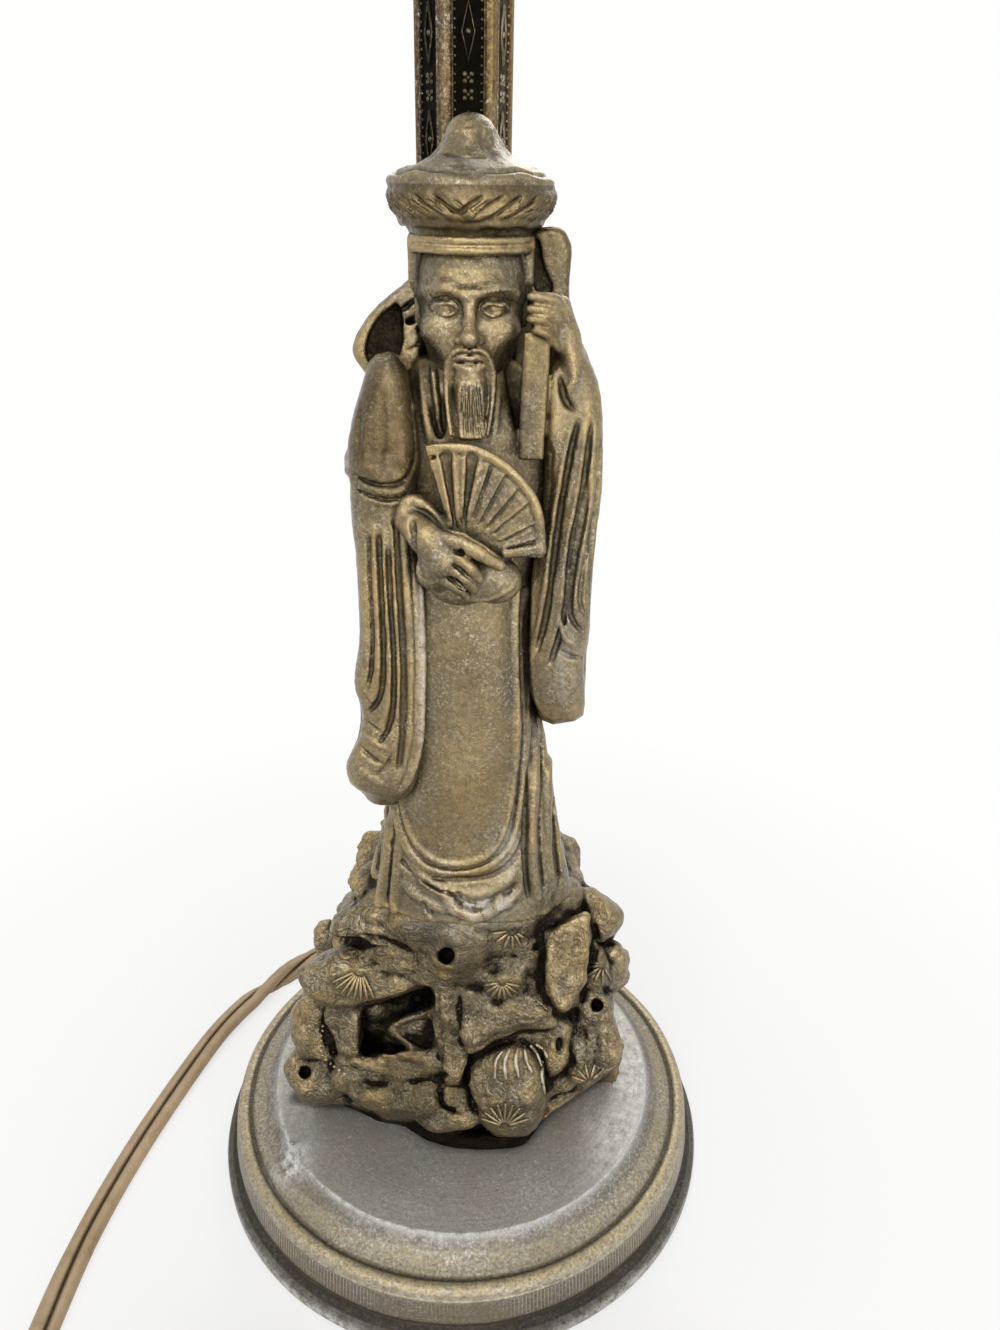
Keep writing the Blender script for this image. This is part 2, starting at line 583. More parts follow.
def makeBase(spec):
    verts, faces = turned(baseOutline(spec) + spec["inside"], spec["steps"])
    x, y, z = verts.T
    away = np.hypot(x, y)
    turn = np.arctan2(y, x)
    dx, dy = x - spec["dentAt"][0], y - spec["dentAt"][1]
    dent = np.exp(-(dx ** 2 + dy ** 2) / spec["dentWide"] ** 2) * (away > 30)
    crease = np.exp(-((dx * 0.86 + dy * 0.5) / 5.5) ** 2 - ((-dx * 0.5 + dy * 0.86) / 0.9) ** 2)
    press = 0.55 * dent + 0.35 * crease
    sway = 0.10 * np.sin(3 * turn + 0.4) + 0.07 * np.sin(7 * turn) + 0.05 * np.sin(17 * turn + 1)
    skin = z > 0.5
    verts[:, 2] -= press * skin
    verts[:, 2] += sway * spot((away, 59, 6)) * skin * 0.8
    out = 1 + sway / 66 * spot((z, 9, 7))
    verts[:, 0] *= out
    verts[:, 1] *= out
    piece = addMesh("base_skin", verts, faces)
    edge = spot((away, 51.35, 0.5)) * (z > 20)
    front = spot((turn, -1.75, 1.25))
    patch = np.exp(-((x + 42.5) ** 2 + (y + 31.0) ** 2) / 26)
    rim = spot((z, 2.0, 1.6)) * (away > 65)
    wornRim = rim * (0.35 + 0.65 * np.maximum(spot((turn, -2.1, 0.45)), spot((turn, -0.95, 0.3))))
    torusEdge = spot((away, 62.6, 0.5)) * (z > 13.4)
    paint(piece, "pale", 1.1 * edge * (0.4 + 0.6 * front) + 1.1 * patch + 0.9 * wornRim + 0.25 * torusEdge)
    cove = np.clip((away - 52.5) / 3, 0, 1) * (z > 14)
    torus = spot((away, 61.0, 1.8)) * (z > 13.5)
    outer = np.clip((away - 51.6) / 1.5, 0, 1)
    paint(piece, "gilt", 0.45 * cove + 0.6 * torus + 0.3 * (np.abs(z - 10) < 3.5) * (away > 61))
    paint(piece, "bronze", 0.7 * outer + 0.2 * (away > 61) * (z < 13.6))
    paint(piece, "busy", outer)
    groove = spot((away, 59.05, 0.75)) * (z > 15)
    foot = spot((away, 63.2, 1.1)) * (z < 7.2)
    near = np.full(len(verts), 99.0)
    for px, py in smoothLine(spec["rockFoot"], 1.0):
        near = np.minimum(near, np.hypot(x - px, y - py))
    contact = np.clip(1.4 - near / 2.4, 0, 1) + 0.12 * np.exp(-(near / 5) ** 2)
    grime = groove + foot + contact * (z > 21) + 0.7 * (z < 5.2) * (rim < 0.5) + 0.55 * crease + 0.25 * dent
    grime += 0.22 * (away > 61.4) * (z < 13.4) * (z > 6) + 0.22 * spot((x, -18, 16), (y, -36, 7))
    paint(piece, "grime", np.minimum(grime, 0.85))
    paint(piece, "hollow", 0.5)
    outwards(piece)
    return wearFinish(piece, finishes["base"], stands=("base_shell",))


makeBase(base)
print("base spun")


grain = 1.0   # coarser clay while trying things
empty = 5.0   # mm, the distance kept where there is no clay
columnRoom = dict(y=9, radius=8.9, low=99)   # the space that the castings leave to the column
eye = np.array(photoView["place"])


def softMin(a, b, soft):
    near = np.maximum(soft - np.abs(a - b), 0) / soft
    return np.minimum(a, b) - near * near * soft / 4


def roundedBox(over, rounding):  # distance, from how far a place is past the three sides
    outside = np.sqrt(sum(np.maximum(value, 0) ** 2 for value in over))
    inside = np.minimum(np.maximum(np.maximum(over[0], over[1]), over[2]), 0)
    return (outside + inside - rounding).astype(np.float32)


def unit(way):
    way = np.array(way, float)
    return way / np.linalg.norm(way)


def turnOf(degrees):  # rotation about X, then Y, then Z
    x, y, z = (math.radians(value) for value in degrees)
    return np.array(Matrix.Rotation(z, 3, "Z") @ Matrix.Rotation(y, 3, "Y") @ Matrix.Rotation(x, 3, "X"))


def cloud(count, cell, size, seed):  # smooth noise from -1 to 1 with lumps of one size
    knots = [int(n * cell / size) + 3 for n in count]
    values = np.random.default_rng(seed).uniform(-1, 1, knots).astype(np.float32)
    for axis, n in enumerate(count):
        place = np.arange(n) * cell / size
        low = place.astype(int)
        shape = [1, 1, 1]
        shape[axis] = n
        share = (place - low).astype(np.float32)
        share = (share * share * (3 - 2 * share)).reshape(shape)
        values = np.take(values, low, axis) * (1 - share) + np.take(values, low + 1, axis) * share
    return values


def blurred(values, reach):
    for axis in range(3):
        for _ in range(2):
            spread = [(0, 0)] * 3
            spread[axis] = (reach + 1, reach)
            run = np.cumsum(np.pad(values, spread, mode="edge"), axis=axis, dtype=np.float32)
            ahead, behind = [slice(None)] * 3, [slice(None)] * 3
            ahead[axis], behind[axis] = slice(2 * reach + 1, None), slice(0, -2 * reach - 1)
            values = (run[tuple(ahead)] - run[tuple(behind)]) / (2 * reach + 1)
    return values


class Clay:  # distances in mm on a grid of cells, negative inside the clay
    def __init__(self, low, high, cell, plane=-28.0):
        self.cell = cell * grain
        self.plane = plane   # points of two numbers are x and z on this plane, seen from the eye
        self.low = np.array(low, float)
        self.count = np.ceil((np.array(high, float) - self.low) / self.cell).astype(int) + 1
        self.high = self.low + (self.count - 1) * self.cell
        self.field = np.full(self.count, empty, np.float32)
        self.skin = None   # the clay that strokes are laid on, once it is settled

    def settle(self):
        self.skin = self.field.copy()

    def window(self, low, high):
        first = np.clip(np.floor((np.array(low) - self.low) / self.cell).astype(int), 0, self.count)
        last = np.clip(np.ceil((np.array(high) - self.low) / self.cell).astype(int) + 1, 0, self.count)
        last = np.maximum(first, last)
        x, y, z = (self.low[i] + np.arange(first[i], last[i]) * self.cell for i in range(3))
        part = tuple(slice(a, b) for a, b in zip(first, last))
        return part, x.astype(np.float32)[:, None, None], y.astype(np.float32)[:, None], z.astype(np.float32)

    def merge(self, part, distance, soft, carve):
        if carve:
            self.field[part] = -softMin(-self.field[part], distance, soft)
        else:
            self.field[part] = softMin(self.field[part], distance, soft)

    def egg(self, centre, radii, turn=(0, 0, 0), soft=1.0, carve=False, square=2.0):
        radii = np.array(radii, float)
        reach = radii.max() * (1.0 if square == 2 else 1.3) + soft + self.cell * 2
        part, x, y, z = self.window(np.array(centre) - reach, np.array(centre) + reach)
        axes = turnOf(turn).T
        dx, dy, dz = x - centre[0], y - centre[1], z - centre[2]
        a, b, c = (np.abs(axis[0] * dx + axis[1] * dy + axis[2] * dz) / radius
                   for axis, radius in zip(axes, radii))
        if square == 2:
            near = np.sqrt(a * a + b * b + c * c)
        else:
            near = (a ** square + b ** square + c ** square) ** (1 / square)
        length = np.sqrt(dx * dx + dy * dy + dz * dz)
        distance = np.where(near > 0.05, (1 - 1 / np.maximum(near, 0.05)) * length, -radii.min())
        self.merge(part, distance.astype(np.float32), soft, carve)

    def slab(self, centre, halves, turn=(0, 0, 0), rounding=1.0, soft=1.0, carve=False):
        halves = np.array(halves, float)
        reach = np.linalg.norm(halves) + soft + self.cell * 2
        part, x, y, z = self.window(np.array(centre) - reach, np.array(centre) + reach)
        axes = turnOf(turn).T
        dx, dy, dz = x - centre[0], y - centre[1], z - centre[2]
        over = [np.abs(axis[0] * dx + axis[1] * dy + axis[2] * dz) - half + rounding
                for axis, half in zip(axes, halves)]
        self.merge(part, roundedBox(over, rounding), soft, carve)

    def limb(self, points, radii, soft=1.0, carve=False):
        points = np.array(points, float)
        radii = np.broadcast_to(np.array(radii, float), len(points))
        reach = radii.max() + soft + self.cell * 2
        part, x, y, z = self.window(points.min(0) - reach, points.max(0) + reach)
        if 0 in (x.size, y.size, z.size):
            return
        near = np.full((x.size, y.size, z.size), empty, np.float32)
        start = np.array([piece.start for piece in part])
        for a, b, ra, rb in zip(points, points[1:], radii, radii[1:]):
            local, px, py, pz = self.window(np.minimum(a, b) - reach, np.maximum(a, b) + reach)
            if 0 in (px.size, py.size, pz.size):
                continue
            inner = tuple(slice(piece.start - s, piece.stop - s) for piece, s in zip(local, start))
            dx, dy, dz = px - a[0], py - a[1], pz - a[2]
            way = b - a
            along = np.clip((dx * way[0] + dy * way[1] + dz * way[2]) / max(way @ way, 1e-9), 0, 1)
            gap = (dx - way[0] * along) ** 2 + (dy - way[1] * along) ** 2 + (dz - way[2] * along) ** 2
            near[inner] = np.minimum(near[inner], np.sqrt(gap) - (ra + (rb - ra) * along))
        self.merge(part, near, soft, carve)

    def plate(self, outline, front, thick, lean=0.5, rounding=1.2, soft=1.0, dome=0.0, carve=False):
        outline = np.array(outline, float)   # x and z on the plane; its sides follow the lines of sight
        after = np.roll(outline, -1, axis=0)
        outline = np.stack([outline * 0.78 + after * 0.22, outline * 0.22 + after * 0.78], 1).reshape(-1, 2)
        middle = self.at(outline.mean(0), front)
        out = unit((0, -1, lean))
        ways = np.column_stack([outline[:, 0], np.full(len(outline), self.plane), outline[:, 1]]) - eye
        face = eye + ways * ((middle - eye) @ out / (ways @ out))[:, None]
        back = eye + ways * ((middle - out * thick - eye) @ out / (ways @ out))[:, None]
        both = np.concatenate([face, back])
        margin = soft + dome + self.cell * 2
        part, x, y, z = self.window(both.min(0) - margin, both.max(0) + margin)
        share = (self.plane - eye[1]) / (y - eye[1])
        u, v = eye[0] + (x - eye[0]) * share, eye[2] + (z - eye[2]) * share
        near, inside = np.float32(1e6), False
        for (ax, az), (bx, bz) in zip(outline, np.roll(outline, -1, axis=0)):
            wx, wz = bx - ax, bz - az
            along = np.clip(((u - ax) * wx + (v - az) * wz) / (wx * wx + wz * wz), 0, 1)
            near = np.minimum(near, (u - ax - wx * along) ** 2 + (v - az - wz * along) ** 2)
            if az != bz:
                inside = inside ^ (((az > v) != (bz > v)) & (u < wx * (v - az) / wz + ax))
        side = np.sqrt(near) * np.where(inside, -1, 1)
        proud = (x - middle[0]) * out[0] + (y - middle[1]) * out[1] + (z - middle[2]) * out[2]
        if dome:
            proud = proud - dome * (1 - np.clip(1 - side / min(side.min(), -0.1), 0, 1) ** 2)
        over = side + rounding, proud + rounding, -thick - proud + rounding
        self.merge(part, roundedBox(over, rounding), soft, carve)

    # levels of z, left, right, front, back
    def loft(self, levels, square=2.3, relief=None):
        levels = np.array(levels, float)
        low = (levels[:, 1].min() - 3, levels[:, 3].min() - 3, levels[0, 0] - 3)
        high = (levels[:, 2].max() + 3, levels[:, 4].max() + 3, levels[-1, 0] + 3)
        part, x, y, z = self.window(low, high)
        fine = np.linspace(levels[0, 0], levels[-1, 0], 200)
        sides = smoothLevels(levels, fine)
        left, right, front, back = (np.interp(z, fine, side) for side in sides)
        dx, dy = x - (left + right) / 2, y - (front + back) / 2
        a, b = np.abs(dx) / ((right - left) / 2), np.abs(dy) / ((back - front) / 2)
        near = np.maximum((a ** square + b ** square) ** (1 / square), 0.05)
        distance = (1 - 1 / near) * np.sqrt(dx * dx + dy * dy)
        if relief:
            distance = distance - relief(np.arctan2(dy, dx), z)
        distance = np.maximum(distance, np.maximum(levels[0, 0] - z, z - levels[-1, 0]))
        self.merge(part, distance.astype(np.float32), 1.0, False)

    def turned(self, profile, centre, relief=None):  # profile of r, z going up
        r, height = np.array(profile, float).T
        reach = r.max() + 3
        part, x, y, z = self.window((centre[0] - reach, centre[1] - reach, height[0] - 3),
                                    (centre[0] + reach, centre[1] + reach, height[-1] + 3))
        fine = np.linspace(height[0], height[-1], 240)
        wide = np.convolve(np.pad(np.interp(fine, height, r), 3, mode="edge"), np.ones(7) / 7, "valid")
        slope = np.sqrt(1 + np.gradient(wide, fine) ** 2)
        dx, dy = x - centre[0], y - centre[1]
        distance = (np.sqrt(dx * dx + dy * dy) - np.interp(z, fine, wide)) / np.interp(z, fine, slope)
        if relief:
            distance = distance - relief(np.arctan2(dy, dx), z)
        distance = np.maximum(distance, np.maximum(height[0] - z, z - height[-1]))
        self.merge(part, distance.astype(np.float32), 1.0, False)

    def sample(self, points, values=None):
        values = self.field if values is None else values
        place = np.clip((points - self.low) / self.cell, 0, self.count - 1.001)
        base = place.astype(int)
        share = place - base
        total = 0
        for corner in range(8):
            step = np.array([corner & 1, corner >> 1 & 1, corner >> 2])
            weight = np.prod(np.where(step, share, 1 - share), axis=-1)
            total = total + weight * values[tuple(np.moveaxis(base + step, -1, 0))]
        return total

    def at(self, point, depth):  # the place at some depth that is seen at x and z of the plane
        seen = np.array((point[0], self.plane, point[1]), float)
        return eye + (seen - eye) * (depth - eye[1]) / (self.plane - eye[1])

    def seen(self, points):  # the places of x and z on the plane and a depth
        return [self.at((x, z), depth) for x, z, depth in points]

    def touch(self, points, way=None):  # where lines from the eye, or along a way, meet the clay
        points = np.array([(p[0], self.plane, p[1]) if len(p) == 2 else p for p in points], float)
        if way is None:
            starts = np.broadcast_to(eye, points.shape)
            ways = points - eye
            ways = ways / np.linalg.norm(ways, axis=1)[:, None]
        else:
            starts, ways = points, np.broadcast_to(unit(way), points.shape)
        middle = (self.low + self.high) / 2
        span = np.linalg.norm(self.high - self.low) * 0.55
        steps = np.arange(-span, span, self.cell * 0.8)
        begin = starts + ways * np.einsum("ij,ij->i", middle - starts, ways)[:, None]
        rays = begin[:, None] + ways[:, None] * steps[:, None]
        held = np.all((rays >= self.low) & (rays <= self.high), axis=-1)
        values = np.where(held, self.sample(rays, self.skin), empty)
        first = np.maximum(np.argmax(values < 0, axis=1), 1)
        rows = np.arange(len(points))
        before, after = values[rows, first - 1], values[rows, first]
        depth = steps[first - 1] + np.clip(before / np.maximum(before - after, 1e-6), 0, 1) * self.cell * 0.8
        hit = after < 0
        if not hit.any():
            return points
        depth = np.interp(rows, rows[hit], depth[hit])
        return begin + ways * depth[:, None]

    def outward(self, points):
        normal = np.stack([self.sample(points + step, self.skin) - self.sample(points - step, self.skin)
                           for step in np.eye(3) * self.cell * 1.5], 1)
        return normal / np.maximum(np.linalg.norm(normal, axis=1), 1e-6)[:, None]

    def stroke(self, points, width, rise, way=None, fade=2.5):  # a raised or cut line on the clay
        points = [(p[0], self.plane, p[1]) if len(p) == 2 else p for p in points]
        line = self.touch(smoothLine(points), way)
        even = 4 if len(line) > 24 else 2 if len(line) > 6 else 0   # evens out jumps from fold to fold
        padded = np.pad(line, ((even, even), (0, 0)), mode="edge")
        line = sum(padded[k:k + len(line)] for k in range(2 * even + 1)) / (2 * even + 1)
        out = self.outward(line)
        run = np.concatenate([[0], np.cumsum(np.linalg.norm(np.diff(line, axis=0), axis=1))])
        taper = np.ones(len(run))
        if fade:
            taper = np.clip(np.minimum(run, run[-1] - run) / min(fade, run[-1] / 2), 0.02, 1) ** 0.6
        radius = width / 2 * (0.35 + 0.65 * taper)
        if rise > 0:
            self.limb(line + out * (rise * taper - radius)[:, None], radius, width * 0.45)
        else:   # open at the top, however high the clay stands there
            for lift in (0, 0.7, 1.4):
                self.limb(line + out * (radius + rise * taper + lift)[:, None], radius + lift * 0.12,
                          width * 0.3, True)

    def strokes(self, lines, width, rise, **more):
        for line in lines:
            self.stroke(line, width, rise, **more)

    def lump(self, at, radii, turn=(0, 0, 0), sunk=0.35, way=None, soft=1.0, square=2.0):
        centre = self.touch([at], way)[0]
        inwards = unit(centre - eye) if way is None else unit(way)
        self.egg(centre + inwards * np.array(radii).min() * sunk, radii, turn, soft, square=square)

    def hole(self, at, radius, depth, way=None, rim=0.0):
        mouth = self.touch([at], way)[0]
        inwards = unit(mouth - eye) if way is None else unit(way)
        if rim:
            self.egg(mouth + inwards * rim * 0.3, (radius + rim,) * 3, soft=0.8)
        self.limb([mouth - inwards * (rim + 1), mouth + inwards * depth], radius, 0.5, True)

    def roughen(self, *grades, creased=False):  # each grade has a size, a depth and a seed
        for size, depth, seed in grades:
            bumps = cloud(self.count, self.cell, size, seed)
            self.field += depth * (0.5 - 2 * np.abs(bumps) if creased else bumps)

    def warp(self, size, reach, seed):  # bends straight and round forms out of true
        field = self.field
        moved = [np.arange(self.count[i], dtype=np.float32).reshape([-1 if i == k else 1 for k in range(3)]) +
                 reach / self.cell * cloud(self.count, self.cell, size, seed + i) for i in range(3)]
        low = [np.clip(place, 0, n - 1.001).astype(np.int32) for place, n in zip(moved, self.count)]
        share = [np.clip(place - base, 0, 1) for place, base in zip(moved, low)]
        total = np.zeros_like(field)
        for corner in range(8):
            step = corner & 1, corner >> 1 & 1, corner >> 2
            weight = 1
            for s, one in zip(share, step):
                weight = weight * (s if one else 1 - s)
            total += weight * field[tuple(base + one for base, one in zip(low, step))]
        self.field = total

    def trim(self, low, high):  # keeps only the clay inside a box
        over = [np.maximum(a - line, line - b) for a, b, line in zip(
            low, high, (self.low[i] + np.arange(self.count[i]) * self.cell for i in range(3)))]
        box = np.maximum(np.maximum(over[0][:, None, None], over[1][:, None]), over[2]).astype(np.float32)
        self.field = np.maximum(self.field, box)

    def clearColumn(self):  # leaves the space free that the column takes
        x, y, z = (self.low[i] + np.arange(self.count[i]) * self.cell for i in range(3))
        away = np.sqrt(x[:, None, None] ** 2 + (y[:, None] - columnRoom["y"]) ** 2)
        inside = np.where(z > columnRoom["low"], columnRoom["radius"] - away, -empty)
        self.field = np.maximum(self.field, inside.astype(np.float32))

    def cast(self, part, near=1.1, wide=2.6):  # the skin of one casting, with its places in mm
        name = part + "_sculpt"
        grid = openvdb.FloatGrid(empty)
        grid.copyFromArray(self.field)
        points, quads = grid.convertToQuads(isovalue=0.0)
        points, quads = mainShell(np.array(points, float), np.array(quads))
        verts = self.low + points * self.cell
        a, b, c, d = (verts[quads[:, k]] for k in range(4))
        facing = sum(np.einsum("ij,ij->i", a, np.cross(p, q)).sum() for p, q in ((b, c), (c, d)))
        if facing < 0:
            quads = quads[:, ::-1]
        piece = addMesh(name, verts, quads.tolist())
        filled = np.clip(0.5 - self.field / self.cell, 0, 1)
        close = self.sample(verts, blurred(filled, max(1, round(near / self.cell))))
        broad = self.sample(verts, blurred(filled, max(2, round(wide / self.cell))))
        paint(piece, "hollow", 0.5 + (close - 0.5) * 0.75 + (broad - 0.5) * 0.4)
        castings.append((piece, self))
        print("  cast", name, len(quads), "faces")
        wearFinish(piece, finishes["spelter"], stands=(part + "_casting",))
        return piece, *vertsOf(piece).T


def smoothLevels(levels, heights):  # each side of a loft, eased between its levels
    z = levels[:, 0]
    sides = []
    for side in levels[:, 1:].T:
        slope = np.gradient(side, z)
        index = np.clip(np.searchsorted(z, heights) - 1, 0, len(z) - 2)
        step = z[index + 1] - z[index]
        t = np.clip((heights - z[index]) / step, 0, 1)
        a, b = side[index], side[index + 1]
        m, n = slope[index] * step, slope[index + 1] * step
        sides.append(a * (1 + 2 * t) * (1 - t) ** 2 + m * t * (1 - t) ** 2
                     + b * t * t * (3 - 2 * t) - n * t * t * (1 - t))
    return sides


def mainShell(points, quads):  # leaves out the crumbs that carving cuts loose
    mark = np.arange(len(points))
    a, b = quads.ravel(), np.roll(quads, 1, axis=1).ravel()
    while True:
        least = np.minimum(mark[a], mark[b])
        before = mark.copy()
        np.minimum.at(mark, a, least)
        np.minimum.at(mark, b, least)
        mark = mark[mark]
        if (mark == before).all():
            break
    kept = mark == np.bincount(mark).argmax()
    renumber = np.cumsum(kept) - 1
    return points[kept], renumber[quads[kept[quads[:, 0]]]]


castings = []


def shadeCastings(cell=1.1, reach=3.3):  # how closed in each casting is by its neighbours, for the dark wash
    low, high = np.array([-56, -46, 12.0]), np.array([56, 42, 262.0])
    whole = Clay(low, high, cell / grain)
    filled = np.zeros(whole.count, np.float32)
    for piece, clay in castings:
        part, x, y, z = whole.window(clay.low, clay.high)
        places = np.stack(np.broadcast_arrays(x, y, z), -1)
        filled[part] = np.maximum(filled[part], np.clip(0.5 - clay.sample(places) / cell, 0, 1))
    part, x, y, z = whole.window((-12, 0, 100), (12, 18, 262))
    filled[part] = np.maximum(filled[part], (x * x + (y - 9) ** 2 < 81).astype(np.float32) * np.ones_like(z))
    filled[:, :, :int((22 - low[2]) / cell)] = 1
    spread = blurred(filled, round(reach / cell))
    for piece, clay in castings:
        paint(piece, "shade", whole.sample(vertsOf(piece), spread))


print("clay ready")


rockwork = dict(
    cell=0.72, seed=11, low=(-53, -37, 20.5), high=(52, 35, 106),
    core=[(20.0, -43, 43, -23, 27), (32, -43, 40, -24, 27), (43, -40, 38, -25, 26), (50, -37, 37, -26, 25),
          (58, -37, 37, -27, 24), (66, -32, 36, -27, 23), (75, -29, 34, -28, 22), (83, -25, 31, -28, 21),
          (92, -21, 26, -28, 20), (101, -19, 24, -27, 19)],
    # outline as seen from the eye, front, thickness, lean, rounding, swell
    crags=[
        ([(-28.6, 95.8), (-22.5, 100.5), (-18, 104.5), (-6, 105), (-3, 98), (-4, 90), (-10.7, 87.3),
          (-15, 89.2), (-22.9, 91.2), (-28.5, 92)], -20.5, 14, 0.9, 1.0, 0.8),
        ([(-36.4, 79.6), (-34, 83), (-28.6, 86.8), (-19.3, 88.6), (-10.7, 87), (-6, 86), (-6, 78),
          (-10.4, 76.1), (-17.1, 73.4), (-23.9, 70.7), (-31.2, 69.8), (-36, 73.1), (-36.8, 76.7)], -24.5, 9,
          0.7, 1.6, 1.4),
        ([(-31.9, 71), (-24, 71), (-24.2, 60), (-25.8, 53.4), (-31.4, 56)], -24.5, 10, 0.3, 0.7, 0.3),
        ([(-37.5, 73), (-32.4, 72), (-31.8, 64), (-32.4, 53), (-39, 52), (-40.6, 60), (-39.6, 68)], -22, 10,
         0.3, 2.2, 1.0),
        ([(-41.6, 53), (-38, 56), (-33, 54), (-30.5, 50.5), (-27, 47), (-26.5, 43), (-30, 40), (-36, 36.5),
          (-40.5, 38), (-42.8, 44), (-42.8, 49)], -24, 12, 0.4, 2.4, 1.6),
        ([(-5.8, 82), (-5.4, 68), (-4.6, 50), (-3.5, 45), (1.8, 46), (1.2, 56), (0.5, 66), (0.8, 80)],
         -28.5, 9, 0.15, 1.2, 0.8),
        ([(-7, 99), (5, 101), (18, 98), (19, 88), (19.5, 79), (22, 71), (22.5, 67), (15.9, 65), (8, 61),
          (1, 57), (0, 70), (-6, 82)],
         -26.5, 10, 0.6, 2.0, 1.0),
        ([(1, 58.7), (8.1, 62.8), (15.9, 66.8), (23.4, 68), (22.8, 63.4), (16, 62.8), (8.1, 58.7),
          (2, 54.6)], -30, 8, 0.4, 1.0, 0.4),
        ([(2.9, 53), (7, 57.6), (13.8, 60.2), (18.8, 56.8), (21, 48), (21.6, 38), (18.4, 28.5), (12, 26),
          (6, 29.5), (3.1, 38)],
         -31.5, 13, 0.35, 2.8, 2.2),
        ([(19.2, 92), (24, 96), (28.8, 98.6), (29.8, 91.3), (28.9, 78), (27, 70.5), (24.5, 68.6),
          (22.1, 71.5), (19.7, 80)],
         -31, 12, 0.45, 0.5, 0.3),
        ([(26, 106), (31, 105.5), (36.3, 100), (36.8, 95.5), (34, 91), (30, 92), (28, 98)], -15, 16, 0.5,
         1.8, 1.0),
        ([(32, 90), (37, 90.3), (39.6, 86), (39.3, 80), (36.5, 75), (32, 75)], -15, 16, 0.4, 2.2, 1.0),
        ([(29.5, 90), (33.5, 90), (35, 80), (34, 75.5), (29.5, 74)], -19, 10, 0.3, 1.0, 0.6),
        ([(28.5, 75), (36, 75), (37.5, 69), (36, 65.5), (28, 65)], -22, 10, 0.3, 1.2, 0.6),
        ([(27.5, 67), (31, 67.5), (37, 67), (39.4, 60), (38.2, 53.5), (34.3, 50), (29, 48.5), (26.5, 52),
          (27, 60)], -24, 12, 0.4, 1.8, 1.2),
        ([(21, 58), (23, 67), (27.6, 66), (27.4, 56), (26.3, 49), (21.5, 46)], -27, 10, 0.4, 1.2, 0.8),
        ([(20.5, 47), (27, 50), (31, 48.5), (28, 44.5), (24, 42), (20.5, 37)], -24.5, 10, 0.5, 1.6, 0.8),
        ([(-27.1, 47), (-24, 55), (-12.5, 56), (-8.5, 54), (-4, 48), (2.8, 47), (3.3, 38), (5.5, 30.5),
          (-3.6, 28.2), (-8.4, 29), (-11.9, 33.2), (-21.4, 34.7), (-27.1, 38.8)], -28, 12, 0.6, 2.0, 1.0)],
    foot=[(-58, 58), (-45.0, 52.0), (-43.6, 42.7), (-42.0, 39.0), (-39.1, 37.0), (-35.1, 36.3),
          (-31.0, 37.5), (-28.4, 36.2), (-24.9, 34.4), (-19.9, 30.6), (-14.5, 29.9), (-9.8, 25.3),
          (-6.4, 23.0), (-0.9, 21.5), (7.4, 21.0), (15.6, 22.2), (18.3, 25.4), (20.8, 31.3), (22.4, 34.2),
          (27.3, 39.0), (33.6, 45.5), (39, 51), (43, 56), (60, 60), (60, -40), (-58, -40)],
    # rays of the shells: centre, near, far, first and last angle, count
    shells=(((-22.8, 81.5), 1.8, 7.6, 206, 292, 8), ((10.1, 78.0), 0.9, 4.4, 190, 350, 8),
            ((11.6, 30.0), 1.2, 6.4, 20, 160, 9), ((33.3, 83.7), 1.0, 4.2, 165, 300, 6),
            ((32.3, 45.8), 1.2, 5.0, 25, 160, 6), ((12.1, 93.6), 1.2, 4.6, 190, 330, 6)),
    ribs=([(10.6, 56.0), (9.1, 52.7), (8.8, 46.9)], [(12.3, 56.7), (11.2, 52.4), (11.6, 46.6)],
          [(14.2, 57.4), (13.8, 52.8), (14.7, 47.4)], [(15.8, 57.8), (16.4, 53.2), (18.0, 48.9)],
          [(17.3, 58.2), (19.0, 55.0), (20.2, 51.1)], [(18.6, 58.6), (20.7, 56.8), (21.6, 54.0)],
          [(20.6, 52.9), (20.3, 47.8), (21.3, 41.6)]),
    hollow=[(-23.6, 70.3), (-17.1, 73), (-10.4, 75.8), (-5.8, 77), (-5.6, 64), (-6, 55), (-12.5, 55.2),
            (-18.9, 54.6), (-24.6, 54.3), (-24, 62)],
    leaf=[(-4.3, 70.5), (-11.1, 67.4), (-16.8, 64), (-17.6, 60.5), (-12.8, 56.2), (-8.5, 53), (-5, 53),
          (-4.5, 60)])


# fine ridges that lie on the skin, thin at both ends
def raisedLines(name, clay, lines, radius, gold, white, sides=6):
    verts, faces = [], []
    for line in lines:
        leaps = np.linalg.norm(np.diff(line, axis=0), axis=1) > 1.4
        line = line[:int(np.argmax(leaps)) + 1] if leaps.any() else line   # ends at the edge of its stone
        if len(line) < 4:
            continue
        out = clay.outward(line)
        across = np.cross(np.gradient(line, axis=0), out)
        across /= np.linalg.norm(across, axis=1)[:, None]
        reach = radius * np.sin(np.pi * np.linspace(0.12, 0.9, len(line))) ** 0.5
        turns = np.arange(sides) * 2 * math.pi / sides
        rings = (line + out * radius * 0.25)[:, None] + reach[:, None, None] * (
            out[:, None] * np.sin(turns)[:, None] + across[:, None] * np.cos(turns)[:, None])
        first = len(verts)
        verts += rings.reshape(-1, 3).tolist()
        faces += ringFaces(len(line), sides, first)
        last = first + (len(line) - 1) * sides
        faces += [tuple(range(first + sides - 1, first - 1, -1)), tuple(range(last, last + sides))]
    piece = addMesh(name, verts, faces)
    outwards(piece)
    for key, value in (("hollow", 0.36), ("gilt", gold), ("pale", white)):
        paint(piece, key, value)
    return wearFinish(piece, finishes["spelter"])


